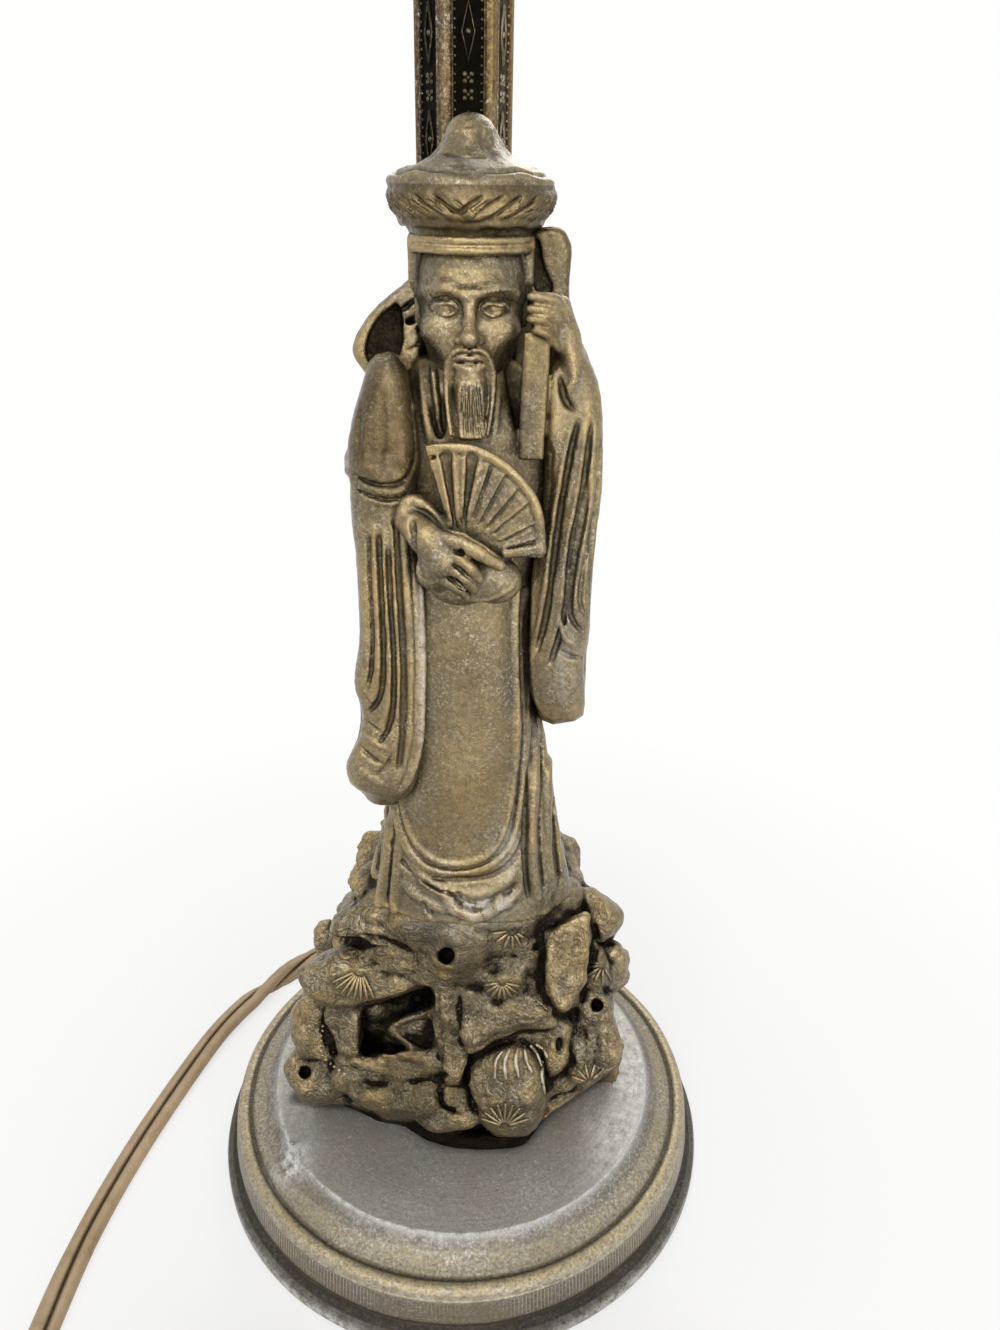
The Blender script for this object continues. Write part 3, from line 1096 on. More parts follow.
def sculptRock(spec):
    c = Clay(spec["low"], spec["high"], spec["cell"])
    c.loft(spec["core"], 2.6, lambda a, z: 0.8 * np.sin(5 * a + 0.11 * z) + 0.6 * np.sin(9 * a - 0.17 * z))
    chance = np.random.default_rng(spec["seed"])
    for height in (30, 44, 58, 72, 86):   # boulders round the sides and the back
        for step in range(9):
            angle = math.radians(-28 + step * 29 + chance.uniform(-8, 8))
            way = (-math.cos(angle), -math.sin(angle), 0)
            size = chance.uniform(0.75, 1.15)
            turn = (chance.uniform(-25, 25), chance.uniform(-25, 25), math.degrees(angle) + 90)
            at = (0, 0, height + chance.uniform(-4, 4))
            if chance.random() < 0.4:
                place = c.touch([at], way)[0]
                c.slab(place + np.array(way) * 3, (8 * size, 4.5, 5.5 * size), turn, 1.8, 1.2)
            else:
                c.lump(at, (8.5 * size, 4.6, 6.5 * size), turn, 0.45, way, 1.0, 2.8)
            c.stroke([(0, 0, at[2] - 6 * size), (3, 3, at[2] - 7 * size), (8, 4, at[2] - 5 * size)], 1.4,
                     -1.3, way)
    for angle, height, radius in ((35, 62, 3.2), (78, 40, 2.6), (112, 76, 3.4), (150, 50, 3.0),
                                  (165, 84, 2.4)):
        way = (-math.cos(math.radians(angle)), -math.sin(math.radians(angle)), -0.1)
        c.hole((0, 0, height), radius, 6, way, 1.2)
    for angle, height in ((52, 52), (98, 58), (135, 66), (15, 44), (172, 62)):   # shells on the back
        way = np.array((-math.cos(math.radians(angle)), -math.sin(math.radians(angle)), 0))
        side = np.array((-way[1], way[0], 0))
        c.lump((0, 0, height), (5, 2.6, 5), (0, 0, angle + 90), 0.5, tuple(way))
        for ray in range(7):
            lean = math.radians(-62 + ray * 20.7)
            tip = side * 5.2 * math.sin(lean) + np.array((0, 0, height - 1.5 + 5.2 * math.cos(lean)))
            c.stroke([(0, 0, height - 2.5), tuple(tip)], 0.8, -0.5, tuple(way), fade=0.8)

    # the front: flat-sided crags first, then bent a little, then cut
    for outline, front, thick, lean, rounding, dome in spec["crags"]:
        c.plate(outline, front, thick, lean, rounding, 1.4, dome)
    c.plate(spec["hollow"], -38, 25, 0.0, 0.6, 0.8, carve=True)
    c.plate(spec["leaf"], -23.5, 9, 0.3, 0.6, 0.6, 0.4)
    c.warp(7.0, 1.1, 21)
    c.roughen((6.5, 0.55, 7), (2.8, 0.28, 8), creased=True)
    c.settle()

    # a top slab, a shell ledge over a hollow, a block and a boulder
    c.stroke([(-28.5, 91.8), (-22.9, 90.9), (-15, 88.9), (-10.5, 86.7)], 1.8, -2.0)
    c.stroke([(-22, 88.6), (-18, 88.4), (-13, 86.4)], 1.1, -0.8)
    c.stroke([(-36, 80.2), (-29, 79.9), (-19.6, 81.5), (-10.2, 82)], 1.0, 0.5)
    c.stroke([(-36.4, 75), (-34.5, 71.7), (-30.5, 70.3), (-24, 71.1), (-17, 73.7), (-10.6, 76.3)], 1.1, 0.45)
    c.strokes([[(-31.9, 68), (-27.5, 68.9), (-24, 68.1)], [(-24.2, 68), (-25.0, 60.5), (-25.8, 53.4)]], 0.8,
              0.4)
    c.stroke([(-29.6, 67), (-29.2, 56)], 0.8, -0.5)
    c.stroke([(-32.4, 70), (-32.3, 62), (-31.8, 55)], 1.2, -1.4)
    c.stroke([(-41, 52), (-36.5, 51.2), (-33, 52.6)], 1.3, -1.0)
    c.stroke([(-31.5, 51.5), (-25, 52.5), (-19, 49), (-13, 50)], 2.4, 0.9)

    # the middle: a leaf, a trunk, a branch, a shell flower and the big round one under it
    c.stroke([(-4.3, 69.9), (-11.1, 66.9), (-16.4, 63.9), (-17, 60.6), (-12.5, 56.8), (-9, 54.2)], 1.3, 0.6)
    c.plate([(-6.5, 67.6), (-14.4, 64), (-15, 61.8), (-11.2, 58), (-7, 56), (-5.8, 61)], -30, 10, 0.2, 0.4,
            0.5, carve=True)
    c.strokes([[(-14, 62.8), (-10, 61.5), (-7, 63)], [(-10, 61.5), (-9, 58.5)]], 0.8, 0.4)
    c.strokes([[(-5.3, 79), (-5.0, 68), (-4.2, 50)], [(0.3, 75), (0.0, 66), (0.5, 55)]], 1.1, -1.1)
    c.strokes([[(-3.5, 76), (-3.3, 66), (-2.8, 53)], [(-1.8, 77), (-1.9, 66), (-1.3, 54)]], 0.7, -0.45)
    c.stroke([(1.8, 54.4), (8.1, 58.5), (16, 62.6), (22.4, 63.0)], 1.6, -1.6)
    c.stroke([(1.5, 58.4), (8.1, 62.4), (15.9, 66.2), (22, 67)], 0.9, -0.5)
    c.stroke([(2.6, 54), (2.3, 46), (3.0, 38), (5.2, 31)], 1.5, -1.6)
    c.lump((11.4, 31.2), (1.1, 0.8, 1.1), sunk=0.2, soft=0.3)
    c.lump((9.8, 76.4), (3.9, 1.6, 3.9), sunk=0.5, soft=0.6)
    c.stroke([(6.4, 78.5), (9.8, 80.4), (13.2, 78.5)], 1.0, 0.5)
    c.strokes([[(5, 84), (11, 86), (16, 84.5)], [(6, 71), (12, 72), (18, 70.2)],
               [(3, 94), (8, 92.5), (15, 93.5)]], 1.2, -0.6)
    c.hole((-2.8, 85.9), 1.9, 6)
    c.hole((12.1, 98.6), 1.0, 4)
    c.hole((17.6, 88.8), 0.7, 2)
    c.lump((-3.1, 79.8), (1.7, 1.2, 1.3), sunk=0.3, soft=0.6)

    # the right: a pointed slab, stacked round stones, a ring and the lumps at its foot
    c.stroke([(28.7, 97.5), (29.3, 88), (28.1, 74)], 0.8, 0.5)
    c.stroke([(19.4, 91), (20.0, 80), (22.4, 71)], 1.1, -1.1)
    c.strokes([[(22.5, 93), (23, 84), (24.5, 75)], [(26.5, 95), (27, 86), (26.6, 77)]], 0.8, -0.4)
    c.stroke([(30.4, 97), (31, 88), (30, 78), (29, 70)], 1.8, -2.2)
    c.stroke([(31.5, 90.6), (35, 90.2), (39, 91)], 1.6, -2.0)
    c.stroke([(29.5, 73), (30.5, 67.6), (34.2, 66.4), (36.4, 70)], 1.2, 0.7)
    c.hole((32.7, 71.3), 1.5, 5)
    c.strokes([[(30.5, 65), (31, 58), (30.4, 52)], [(35, 64), (36, 57), (35, 52)],
               [(33, 64.5), (33.6, 57), (33, 51.5)]], 0.9, -0.7)
    c.stroke([(24.3, 60.8), (24.4, 58), (24.9, 54.8)], 1.5, -2.2, fade=1.2)
    c.stroke([(28.0, 68), (27.3, 60), (27.8, 52), (30, 47.5)], 1.4, -1.5)

    # along the foot
    for at, radii in (((-27.5, 47), (4, 3, 3.4)), ((-20.5, 41), (4.2, 3.4, 4)), ((-12, 48), (5, 3, 4)),
                      ((-6.5, 52), (2.4, 2.2, 2.4)), ((-9, 39), (5, 3.6, 3.6)), ((-1.5, 40), (4, 3.2, 5)),
                      ((0.5, 33.5), (4.4, 3, 3)), ((25.5, 47.5), (3.2, 2.8, 3.4)),
                      ((30.5, 50), (4, 3, 2.8)), ((-15, 55.5), (3, 2.2, 2)), ((36.5, 56), (3, 3, 3.4))):
        c.lump(at, radii, (chance.uniform(-15, 15), chance.uniform(-20, 20), 0), 0.75, soft=1.6, square=2.6)
    c.strokes([[(-16.5, 40), (-8.2, 43.5), (0.1, 45.4)], [(-21, 36.5), (-12, 35.5), (-4, 31)]], 1.1, 0.6)
    c.strokes([[(-13.5, 45.2), (-7, 46.5), (-2, 48.5)], [(-5, 43), (-3.8, 37), (1, 35)],
               [(-24, 44.5), (-17, 44)]], 1.0, -1.1)
    c.hole((-38, 48), 1.5, 3, rim=0.5)
    c.lump((-20.6, 39.6), (1.6, 1.2, 1.5), sunk=0.2, soft=0.4)
    rays = []
    for (across, up), near, far, first, last, count in spec["shells"]:
        # taller than wide, as the slopes are seen from above
        for angle in np.radians(np.linspace(first, last, count)):
            rays.append([(across + reach * math.cos(angle), up + 1.27 * reach * math.sin(angle))
                         for reach in (near, far)])
    c.limb([(-14, -20, 23.0), (-8, -24.6, 23.2), (0, -27, 23.4), (7.4, -27.4, 23.4), (15, -26.4, 23.2),
            (19, -23, 23.0)], 2.6, 0.8)
    c.plate(spec["foot"], -55, 48, 0.0, 0.5, 0.5, carve=True)   # nothing of it shows below this line
    c.roughen((1.6, 0.16, 4))
    c.trim((-52, -36, 21.2), (51, 34.5, 105.5))
    c.settle()
    rayLines, ribLines = ([c.touch(smoothLine(line, 0.45)) for line in lines]
                          for lines in (rays, spec["ribs"]))
    beads = c.touch(smoothLine([(-32.7, 64), (-33.4, 58.8), (-33.3, 54.1), (-31.2, 51), (-27.3, 47)], 1.5))
    dashes = [np.linspace(bead, bead * 0.6 + after * 0.4, 4) for bead, after in zip(beads, beads[1:])]
    rock, x, y, z = c.cast("rock")
    verts = np.stack([x, y, z], 1)
    gilt = np.zeros(len(verts))
    paint(rock, "craggy", (100 - z) / 8)
    front = np.clip((-16 - y) / 3, 0, 1)
    sooty = 0.55 * spot((x, -13, 13), (z, 42, 13)) + 0.45 * spot((x, 1, 9), (z, 84, 10))
    for place, size in (((-38, 48), 2.0), ((-20.6, 39.6), 1.8), ((-3.1, 79.8), 2.0), ((17.6, 88.8), 1.6)):
        gilt += 1.3 * np.exp(-((verts - c.touch([place])[0]) ** 2).sum(1) / size ** 2)
    chalk = spot((z, 97, 5)) * spot((x, 3, 12)) * (y < -15) * 0.5
    soot = front * (1.5 * np.clip((27.6 - z) / 2.0, 0, 1) + sooty)
    for point in np.concatenate([*rayLines, *ribLines])[::2]:
        soot = np.maximum(soot, 0.75 * np.exp(-((verts - point) ** 2).sum(1) / 0.8))
    paint(rock, "grime", soot)
    paint(rock, "gilt", gilt)
    paint(rock, "pale", chalk)
    raisedLines("shell_rays", c, rayLines, 0.44, 0.3, 0.06)
    raisedLines("boulder_ribs", c, [*ribLines, *dashes], 0.5, 0.3, 0.8)
    return rock


sculptRock(rockwork)
print("rockwork done")


robe = dict(
    cell=0.5, low=(-24, -36, 96), high=(30, 1.0, 219),
    levels=[(97.5, -20.8, 25.6, -31, -1.9), (112, -17.5, 22.5, -31, -1.9), (127, -14.8, 20, -30.4, -1.8),
            (147, -13.4, 16.6, -29.4, -1.4), (168, -13, 15.5, -28.4, -1.2), (185, -15, 18, -27, -1.0),
            (200, -16.5, 20, -25.5, -0.9), (209, -14.5, 18.5, -23.5, -1.4), (217, -8, 11, -20, -3.5)],
    openings=([(7.9, 222), (11.4, 222), (11.5, 212), (10.8, 206.5), (9.6, 209.5), (8.3, 215.5)],
              [(-5.6, 222), (-5.0, 211), (-3.6, 205.5), (-2.0, 205.5), (-1.9, 213), (-2.9, 221)]))


def sculptRobe(spec):
    c = Clay(spec["low"], spec["high"], spec["cell"], -30)

    def folds(a, z):
        rear = np.clip((np.sin(a) + 0.62) / 0.5, 0, 1)
        low = np.clip((150 - z) / 45, 0, 1)
        swing = np.sin(12 * a + 0.035 * z + 0.8 * np.sin(3 * a))
        ripple = np.abs(swing) ** 0.7 * np.sign(swing)
        return rear * (0.35 + 0.75 * low) * ripple + rear * 0.25 * np.sin(21 * a - 0.05 * z)

    c.loft(spec["levels"], 2.3, folds)
    # the front panel and its two trims
    c.egg((0.5, -20.5, 146), (12.4, 10.4, 42), soft=4.0, square=2.5)
    c.plate(spec["openings"][0], -38, 22, 0.0, 0.5, 0.5, carve=True)
    c.plate(spec["openings"][1], -38, 16, 0.0, 0.5, 0.5, carve=True)
    c.settle()
    trim = [(11.4, 178), (11.2, 168), (11.9, 155), (12.0, 143), (11.2, 131), (9.8, 122), (6.6, 115.8),
            (1.2, 113.2), (-4.2, 113.6), (-8.2, 117), (-10.6, 123), (-12, 131), (-12.4, 141), (-12, 156)]
    outer = [(x * 1.1 + (0.9 if x > 0 else -0.9), z - 2.2 * (z < 127)) for x, z in trim]
    c.stroke(trim, 1.5, 0.75, fade=0)
    c.stroke(outer, 1.4, 0.6, fade=0)
    c.stroke([((a + b) / 2, (m + n) / 2) for (a, m), (b, n) in zip(trim, outer)], 0.9, -0.7, fade=0)
    c.stroke([(x * 1.2 + (1.9 if x > 0 else -1.9), z - 4.2 * (z < 127)) for x, z in trim], 1.3, -0.9, fade=0)
    # skirt folds at both sides, then the drapes of the hem
    c.strokes([[(15.4, 150), (16, 135), (15.6, 122), (16.4, 111), (18, 101)],
               [(18.4, 142), (18.8, 128), (19.4, 116), (21, 104)]],
              2.2, 1.0)
    c.strokes([[(17.0, 146), (17.5, 130), (17.6, 118), (19, 105)],
               [(14.2, 140), (14.4, 124), (14.6, 113), (15.8, 103)], [(20, 132), (20.7, 120), (22.5, 107)]],
               1.1, -1.2)
    c.strokes([[(-14.6, 130), (-15.2, 117), (-17, 107), (-18.5, 99)],
               [(-12.6, 121), (-13.4, 112), (-14.2, 104), (-14.6, 98)]],
              2.0, 0.9)
    c.strokes([[(-13.6, 126), (-14.4, 114), (-15.6, 104), (-16.2, 98)],
               [(-16.5, 122), (-18, 110), (-19.8, 101)]], 1.0, -1.1)
    c.strokes([[(-10.5, 113.5), (-6, 107.6), (1, 105), (8, 106.6), (13.2, 112)],
               [(-12.5, 109), (-8, 103.2), (-3, 101), (3, 100.2), (9, 101.5), (14, 106.5)]], 2.4, 1.0)
    c.strokes([[(-9, 110), (-4, 106.2), (2, 104.6)], [(3, 102.6), (9, 104), (13.4, 108.8)],
               [(-7.7, 103.6), (-6.4, 100), (-5.6, 97)]],
              1.2, -1.1)
    c.stroke([(-3.2, 106), (-1, 101.5), (3.6, 98.6), (7.6, 100.6), (10, 105.4)], 2.6, 1.3)
    c.stroke([(-1.2, 106), (1, 102.6), (4.2, 101.2), (7, 103)], 1.1, -1.0)
    # crossed collars and the dark openings beside the beard
    c.strokes([[(-6.2, 219), (-5.6, 211), (-4.6, 204)], [(12.3, 219), (12.2, 210), (11.6, 203)]], 1.5, 0.7)
    c.strokes([[(-1.2, 217), (-1.0, 210), (-0.6, 204)], [(7.4, 216), (7, 210), (6.2, 204)]], 1.4, 0.5)
    c.stroke([(-3.9, 219), (-3.4, 211), (-2.6, 205.5)], 1.2, 1.2)
    c.roughen((5.0, 0.14, 21), (1.3, 0.07, 22))
    c.trim((-23.5, -35.5, 97.4), (29.5, 0.5, 218))
    c.clearColumn()
    piece, x, y, z = c.cast("robe")
    front = (y < -18)
    paint(piece, "gilt", front * (0.55 * spot((x, 1, 6.5), (z, 136, 19)) + 0.25 * spot((z, 112, 6))))
    paint(piece, "pale", front * (0.9 * spot((x, 4, 8), (z, 102, 3.5))
                                  + 0.5 * spot((x, 11, 3), (z, 118, 9))))
    paint(piece, "bronze", front * (0.75 * spot((x, 2.5, 5), (z, 134, 7))
                                    + 0.4 * spot((x, 3, 4), (z, 158, 12)) + 0.5 * (z > 196)))
    return piece


fanArm = dict(
    cell=0.4, low=(-28, -38, 112), high=(-2, -3, 222),
    levels=[(124, -21, -12, -24, -12), (130, -21.5, -10, -27, -9), (145, -20, -8, -29, -8),
            (160, -19.4, -7.4, -29, -7), (175, -19.4, -7.8, -29, -6), (190, -20, -8, -27, -5),
            (203, -19, -9, -24, -5), (214, -16, -9, -20, -7)],
    shoulder=[(-14.5, 219.5), (-16.4, 214.2), (-18.2, 208.9), (-19.3, 203.9), (-19.4, 200), (-18.6, 197.4),
              (-15.6, 196), (-11.6, 195.3), (-8.8, 196.2), (-7, 198.5), (-6.4, 201.9), (-6.8, 206.3),
              (-7.5, 211.7), (-8.2, 217), (-10.5, 220.5)],
    sleeve=[(-18.6, 203), (-19.2, 196), (-19.2, 188.9), (-18.6, 182.9), (-18.7, 173.4), (-18.7, 166.9),
            (-20.0, 160.2), (-20.4, 156.1), (-18.9, 150.6), (-19.4, 145.4), (-22.4, 139.8), (-23, 136.5),
            (-22, 132.7), (-16.9, 130.1), (-12.2, 129), (-8.8, 132.9), (-6.7, 142.7), (-6, 157),
            (-6.2, 170.4), (-6.6, 176), (-7.4, 186), (-7.2, 194), (-8, 202)])
raisedArm = dict(
    cell=0.4, low=(8, -32, 132), high=(32, -3, 236), backing=[(9.5, 228.5), (15.5, 228.5), (18, 222),
            (17.5, 208), (10.5, 205), (9.5, 216)],
    levels=[(146, 17.5, 23.5, -20, -12), (150, 16.5, 25.4, -23, -10), (160, 15.5, 25.4, -24, -8),
            (174, 15, 25.6, -25, -7), (185, 15, 26.2, -25, -6), (195, 15, 26.6, -24, -6),
            (205, 14.4, 26.0, -23, -6), (220, 15.5, 22.6, -20, -9)],
    sleeve=[(15.8, 201), (15.0, 212), (17, 221), (20.9, 221.6), (23.9, 217), (25.2, 212.2), (26.2, 198.4),
            (25.5, 186.6), (25.2, 177.3), (25.4, 167.6), (24.4, 162.3), (25.4, 154), (25.2, 149.4),
            (17.5, 147.9), (15, 153.8), (14.1, 157.3), (13.8, 170.7), (14.3, 183.4), (15.6, 190)])


def armFolds(side):
    def folds(a, z):
        rear = np.clip((np.sin(a) + 0.35) / 0.4, 0, 1)
        return rear * 0.7 * np.sin(9 * a + side * 0.03 * z) * np.clip((212 - z) / 20, 0.2, 1)
    return folds


def sculptFanArm(spec):
    c = Clay(spec["low"], spec["high"], spec["cell"], -30)
    c.loft(spec["levels"], 2.2, armFolds(1))
    c.plate(spec["sleeve"], -31.0, 20, 0.05, 3.0, 1.5, 1.2)
    c.plate(spec["shoulder"], -27.0, 19, 0.2, 3.6, 1.2, 1.2)
    c.settle()
    hem = [(-19.2, 198.5), (-18.2, 197.0), (-15.6, 196), (-11.6, 195.3), (-8.8, 196.2), (-7, 198.5),
           (-6.5, 201.9), (-6.8, 206.3), (-7.6, 212)]
    c.stroke(hem, 1.3, 0.55, fade=0)
    c.stroke([(x * 0.94 - 1.0, z + 1.3) for x, z in hem], 0.9, -0.5, fade=2)
    c.stroke([(-19, 195.4), (-15.4, 193.8), (-11.4, 193.4), (-8.8, 194.2)], 1.0, 0.35)
    c.stroke([(-19, 196.6), (-15.4, 194.8), (-11.4, 194.2), (-8.4, 195.0)], 0.7, -0.55)
    for way, points in (((1, 0, 0), [(0, -27, 198), (0, -18, 197.6), (0, -8, 198.4)]),
                        ((0, -1, 0), [(-21, 0, 198), (-14, 0, 198.4), (-8, 0, 199)])):
        c.stroke(points, 1.5, 0.7, way)
    c.strokes([[(-16.5, 212), (-17.4, 206), (-17.2, 201)], [(-12.8, 213), (-13.0, 206), (-12.6, 200)]], 1.4,
              -0.35)
    # the long edge of the sleeve, broad and smooth with a bright rim
    edge = [(-7.6, 192), (-7.1, 184), (-6.9, 176), (-6.7, 170.4), (-6.6, 163.8), (-6.9, 153.5),
            (-7.6, 142.7), (-9.5, 135.2), (-12.2, 130.6)]
    c.stroke(edge, 1.3, 0.65, fade=3)
    c.stroke([(x - 1.3, z) for x, z in edge], 0.9, -0.4, fade=3)
    c.stroke([(-11.2, 192), (-11.1, 180), (-10.7, 170), (-10.6, 157), (-11.1, 146), (-12.4, 135)], 1.3, -0.9)
    # narrow folds, ending in loops
    c.strokes([[(-17.5, 188), (-17.7, 176), (-17.7, 166), (-18.6, 158)],
               [(-15.4, 190), (-15.5, 176), (-15.4, 164), (-16.0, 156)],
               [(-13.6, 190), (-13.6, 176), (-13.3, 163), (-13.9, 151), (-16.4, 146)],
               [(-11.9, 190), (-11.9, 174), (-11.6, 160), (-12.2, 148)]],
              0.9, 0.4)
    c.strokes([[(-16.4, 189), (-16.6, 177), (-16.5, 167), (-17.2, 158), (-18.4, 154.6)],
               [(-14.4, 189), (-14.4, 177), (-14.3, 167), (-14.8, 157), (-16.2, 151.4), (-18.8, 150.2)],
               [(-12.8, 186), (-12.7, 173.5), (-12.4, 163.7), (-12.7, 153.4), (-14, 146.2),
                (-17.2, 141.4)]], 0.95, -0.95)
    c.strokes([[(-19.4, 156), (-18, 152.8), (-16.4, 151)], [(-19, 149.4), (-17.4, 147), (-14.8, 145.6)],
               [(-20.6, 143.5), (-18, 140), (-14.6, 137.6)], [(-12.6, 142), (-14.8, 137.6), (-18, 134.6)]],
               0.9, -0.6)
    c.strokes([[(-21.6, 138.6), (-18.2, 135.2), (-14.4, 132.4)],
               [(-19.8, 147), (-17.6, 143.8), (-14.4, 141.6)]], 1.2, 0.4)
    for depth in (-26, -21, -16, -11):   # folds on the outer side
        c.stroke([(0, depth, 192), (0, depth - 1, 170), (0, depth + 0.5, 148), (0, depth + 2, 130)], 1.4,
                 -1.0, (1, 0, 0), fade=5)
    c.roughen((5.0, 0.12, 31), (1.3, 0.07, 32))
    c.clearColumn()
    piece, x, y, z = c.cast("fan_arm")
    paint(piece, "gilt", 0.25 * (z < 190) * (y < -24))
    paint(piece, "bronze", np.clip(1.25 - ((x + 14) / 7) ** 2 - ((z - 206) / 13) ** 2, 0, 1) * (y < -6))
    paint(piece, "pale", 0.7 * spot((x, -6.8, 0.9)) * (z < 182) * (z > 133) * (y < -29))
    return piece


def sculptRaisedArm(spec):
    c = Clay(spec["low"], spec["high"], spec["cell"], -30)
    c.loft(spec["levels"], 2.2, armFolds(-1))
    # the sleeve's long folds, from the raised wrist down to the plain square hem
    c.plate(spec["sleeve"], -26.6, 17, 0.05, 2.4, 1.5, 0.9)
    c.plate(spec["backing"], -15.0, 8, 0.1, 1.2, 1.0)
    c.settle()
    folds = ([(21.6, 210), (20.2, 202.9), (18.8, 192), (17.9, 181), (16.9, 171), (15, 163)],
             [(23.9, 210), (22.9, 197), (21, 183.5), (20.6, 172), (18, 160.5)],
             [(23.8, 199), (23.3, 192), (22, 183.5), (21.4, 173.6), (22.6, 169.4), (25, 168.4)],
             [(25.3, 194), (24.1, 183.6), (23.3, 175.6), (23.8, 172), (25.2, 171)])
    for line in folds:
        c.stroke([(x - 1.15, z) for x, z in line], 1.0, 0.4, fade=4)
    for line, deep in zip(folds, (1.2, 1.2, 1.0, 0.85)):
        c.stroke(line, 1.05, -deep, fade=4)
    c.stroke([(19.6, 172), (21, 166.6), (24.9, 165.6)], 1.2, 0.45)
    c.stroke([(18.8, 166), (21, 163.6), (24.6, 163.2)], 1.0, -0.5)
    c.stroke([(14.7, 184), (14.3, 174), (14.4, 166), (14.8, 157.5), (15.6, 153.8), (18, 149.4),
              (24.8, 150.6)], 1.2, 0.4, fade=0)
    c.stroke([(17.4, 214), (16.6, 205), (16.8, 197), (16, 187)], 1.2, -0.4)
    for depth in (-24, -19, -14, -10):
        c.stroke([(40, depth, 206), (40, depth - 1.5, 185), (40, depth, 165), (40, depth + 1, 150)], 1.4,
                 -1.0, (-1, 0, 0), fade=5)
    # the staff that the hand steadies, with its square end and the slot under it
    c.slab(c.at((13.4, 213), -26.4), (2.3, 1.5, 11.0), (0, 1.5, 0), 0.35, 0.4)
    c.stroke([(13.4, 223), (13.5, 213), (13.7, 203.4)], 0.75, -0.9, fade=0)
    c.strokes([[(12.3, 222), (12.5, 204.2)], [(14.7, 221), (14.8, 204)]], 0.8, -0.3)
    c.slab(c.at((14.8, 199), -26.0), (1.35, 2.5, 3.4), (0, 3, 0), 0.3, 0.3, True)
    c.stroke([(16.5, 219), (17, 211), (16.6, 204)], 2.6, 0.8)
    # the raised hand, its fingers laid over the staff
    c.plate([(14.6, 229.2), (16.8, 229.8), (18.8, 229.5), (19.7, 226.6), (20.9, 224.0), (21.3, 221.8),
             (21.8, 219), (21.4, 214.6), (19.4, 213), (18.6, 216), (17.6, 219.4), (16.0, 221.6),
             (15.0, 223.4), (14.2, 226)], -25.6, 6, 0.0, 1.8, 0.8, 0.9)
    fingers = (((18.2, 226.8), (16.6, 228.8), (15.0, 229.2), (12.4, 229.4)),
               ((18.1, 224.8), (16.2, 226.8), (14.7, 227.4), (12.4, 227.5)),
               ((17.4, 222.9), (15.9, 224.9), (14.7, 225.6), (12.5, 225.8)),
               ((17.2, 221.4), (15.9, 222.8), (15.0, 223.6), (13.4, 224.0)))
    for finger in fingers:
        depths = (-25.4, -27.0, -27.9, -28.1)
        c.limb([c.at(p, d) for p, d in zip(finger, depths)], [1.1, 1.1, 1.0, 0.85], 0.3)
    c.stroke([(20.8, 219), (19.6, 214.6), (17.4, 212.6)], 1.2, 0.6)
    c.stroke([(17.6, 217), (19.2, 211.5), (21.6, 210.4)], 1.0, -1.0)
    c.roughen((5.0, 0.12, 41), (1.3, 0.07, 42))
    c.clearColumn()
    piece, x, y, z = c.cast("raised_arm")
    paint(piece, "gilt", (y < -12) * (0.6 * spot((x, 17, 2.6), (z, 208, 11))
                                      + 0.4 * spot((x, 15.5, 3), (z, 176, 16))))
    paint(piece, "pale", 0.3 * spot((x, 22, 4), (z, 160, 10)))
    paint(piece, "bronze", 0.6 * spot((x, 19, 6), (z, 156, 14)) + 0.6 * (np.abs(x - 13.8) < 3) * (z > 195)
          * (z < 226))
    return piece


sculptRobe(robe)
sculptFanArm(fanArm)
sculptRaisedArm(raisedArm)
print("robe and arms done")


fan = dict(
    cell=0.27, low=(-14, -42, 169), high=(19, -24, 209), pivot=(0.4, 183.0), face=-34.6, back=-27.5,
    reach=[(0, 15.6), (22, 16.9), (40, 18.6), (53, 19.4), (70, 20.7), (82, 21.5), (94, 21.8), (106, 22.0)],
    ribs=(17, 28, 42, 53, 64, 74), pleats=(83, 97),
    fingers=(
        ([(-3.4, 187.4, -35.6), (0.8, 186.4, -37.2), (4.4, 184.4, -37.6), (7.9, 182.0, -36.6)],
         [1.7, 1.75, 1.55, 1.15], 0.5),
        ([(-3.2, 184.6, -36.4), (0.4, 183.4, -37.6), (2.6, 181.3, -37.6), (4.3, 179.2, -36.4)],
         [1.3, 1.35, 1.2, 0.95], 0.35),
        ([(-3.6, 182.0, -36.4), (-0.4, 180.9, -37.4), (1.6, 179.1, -37.3), (3.1, 177.2, -36.0)],
         [1.2, 1.25, 1.1, 0.9], 0.35),
        ([(-4.0, 179.8, -35.6), (-1.6, 178.6, -36.6), (0.4, 177.0, -36.4), (1.8, 175.5, -35.2)],
         [1.1, 1.15, 1.0, 0.85], 0.35)))


def onFan(spec, angle, reach):
    across, up = spec["pivot"]
    return across + reach * math.cos(math.radians(angle)), up + reach * math.sin(math.radians(angle))


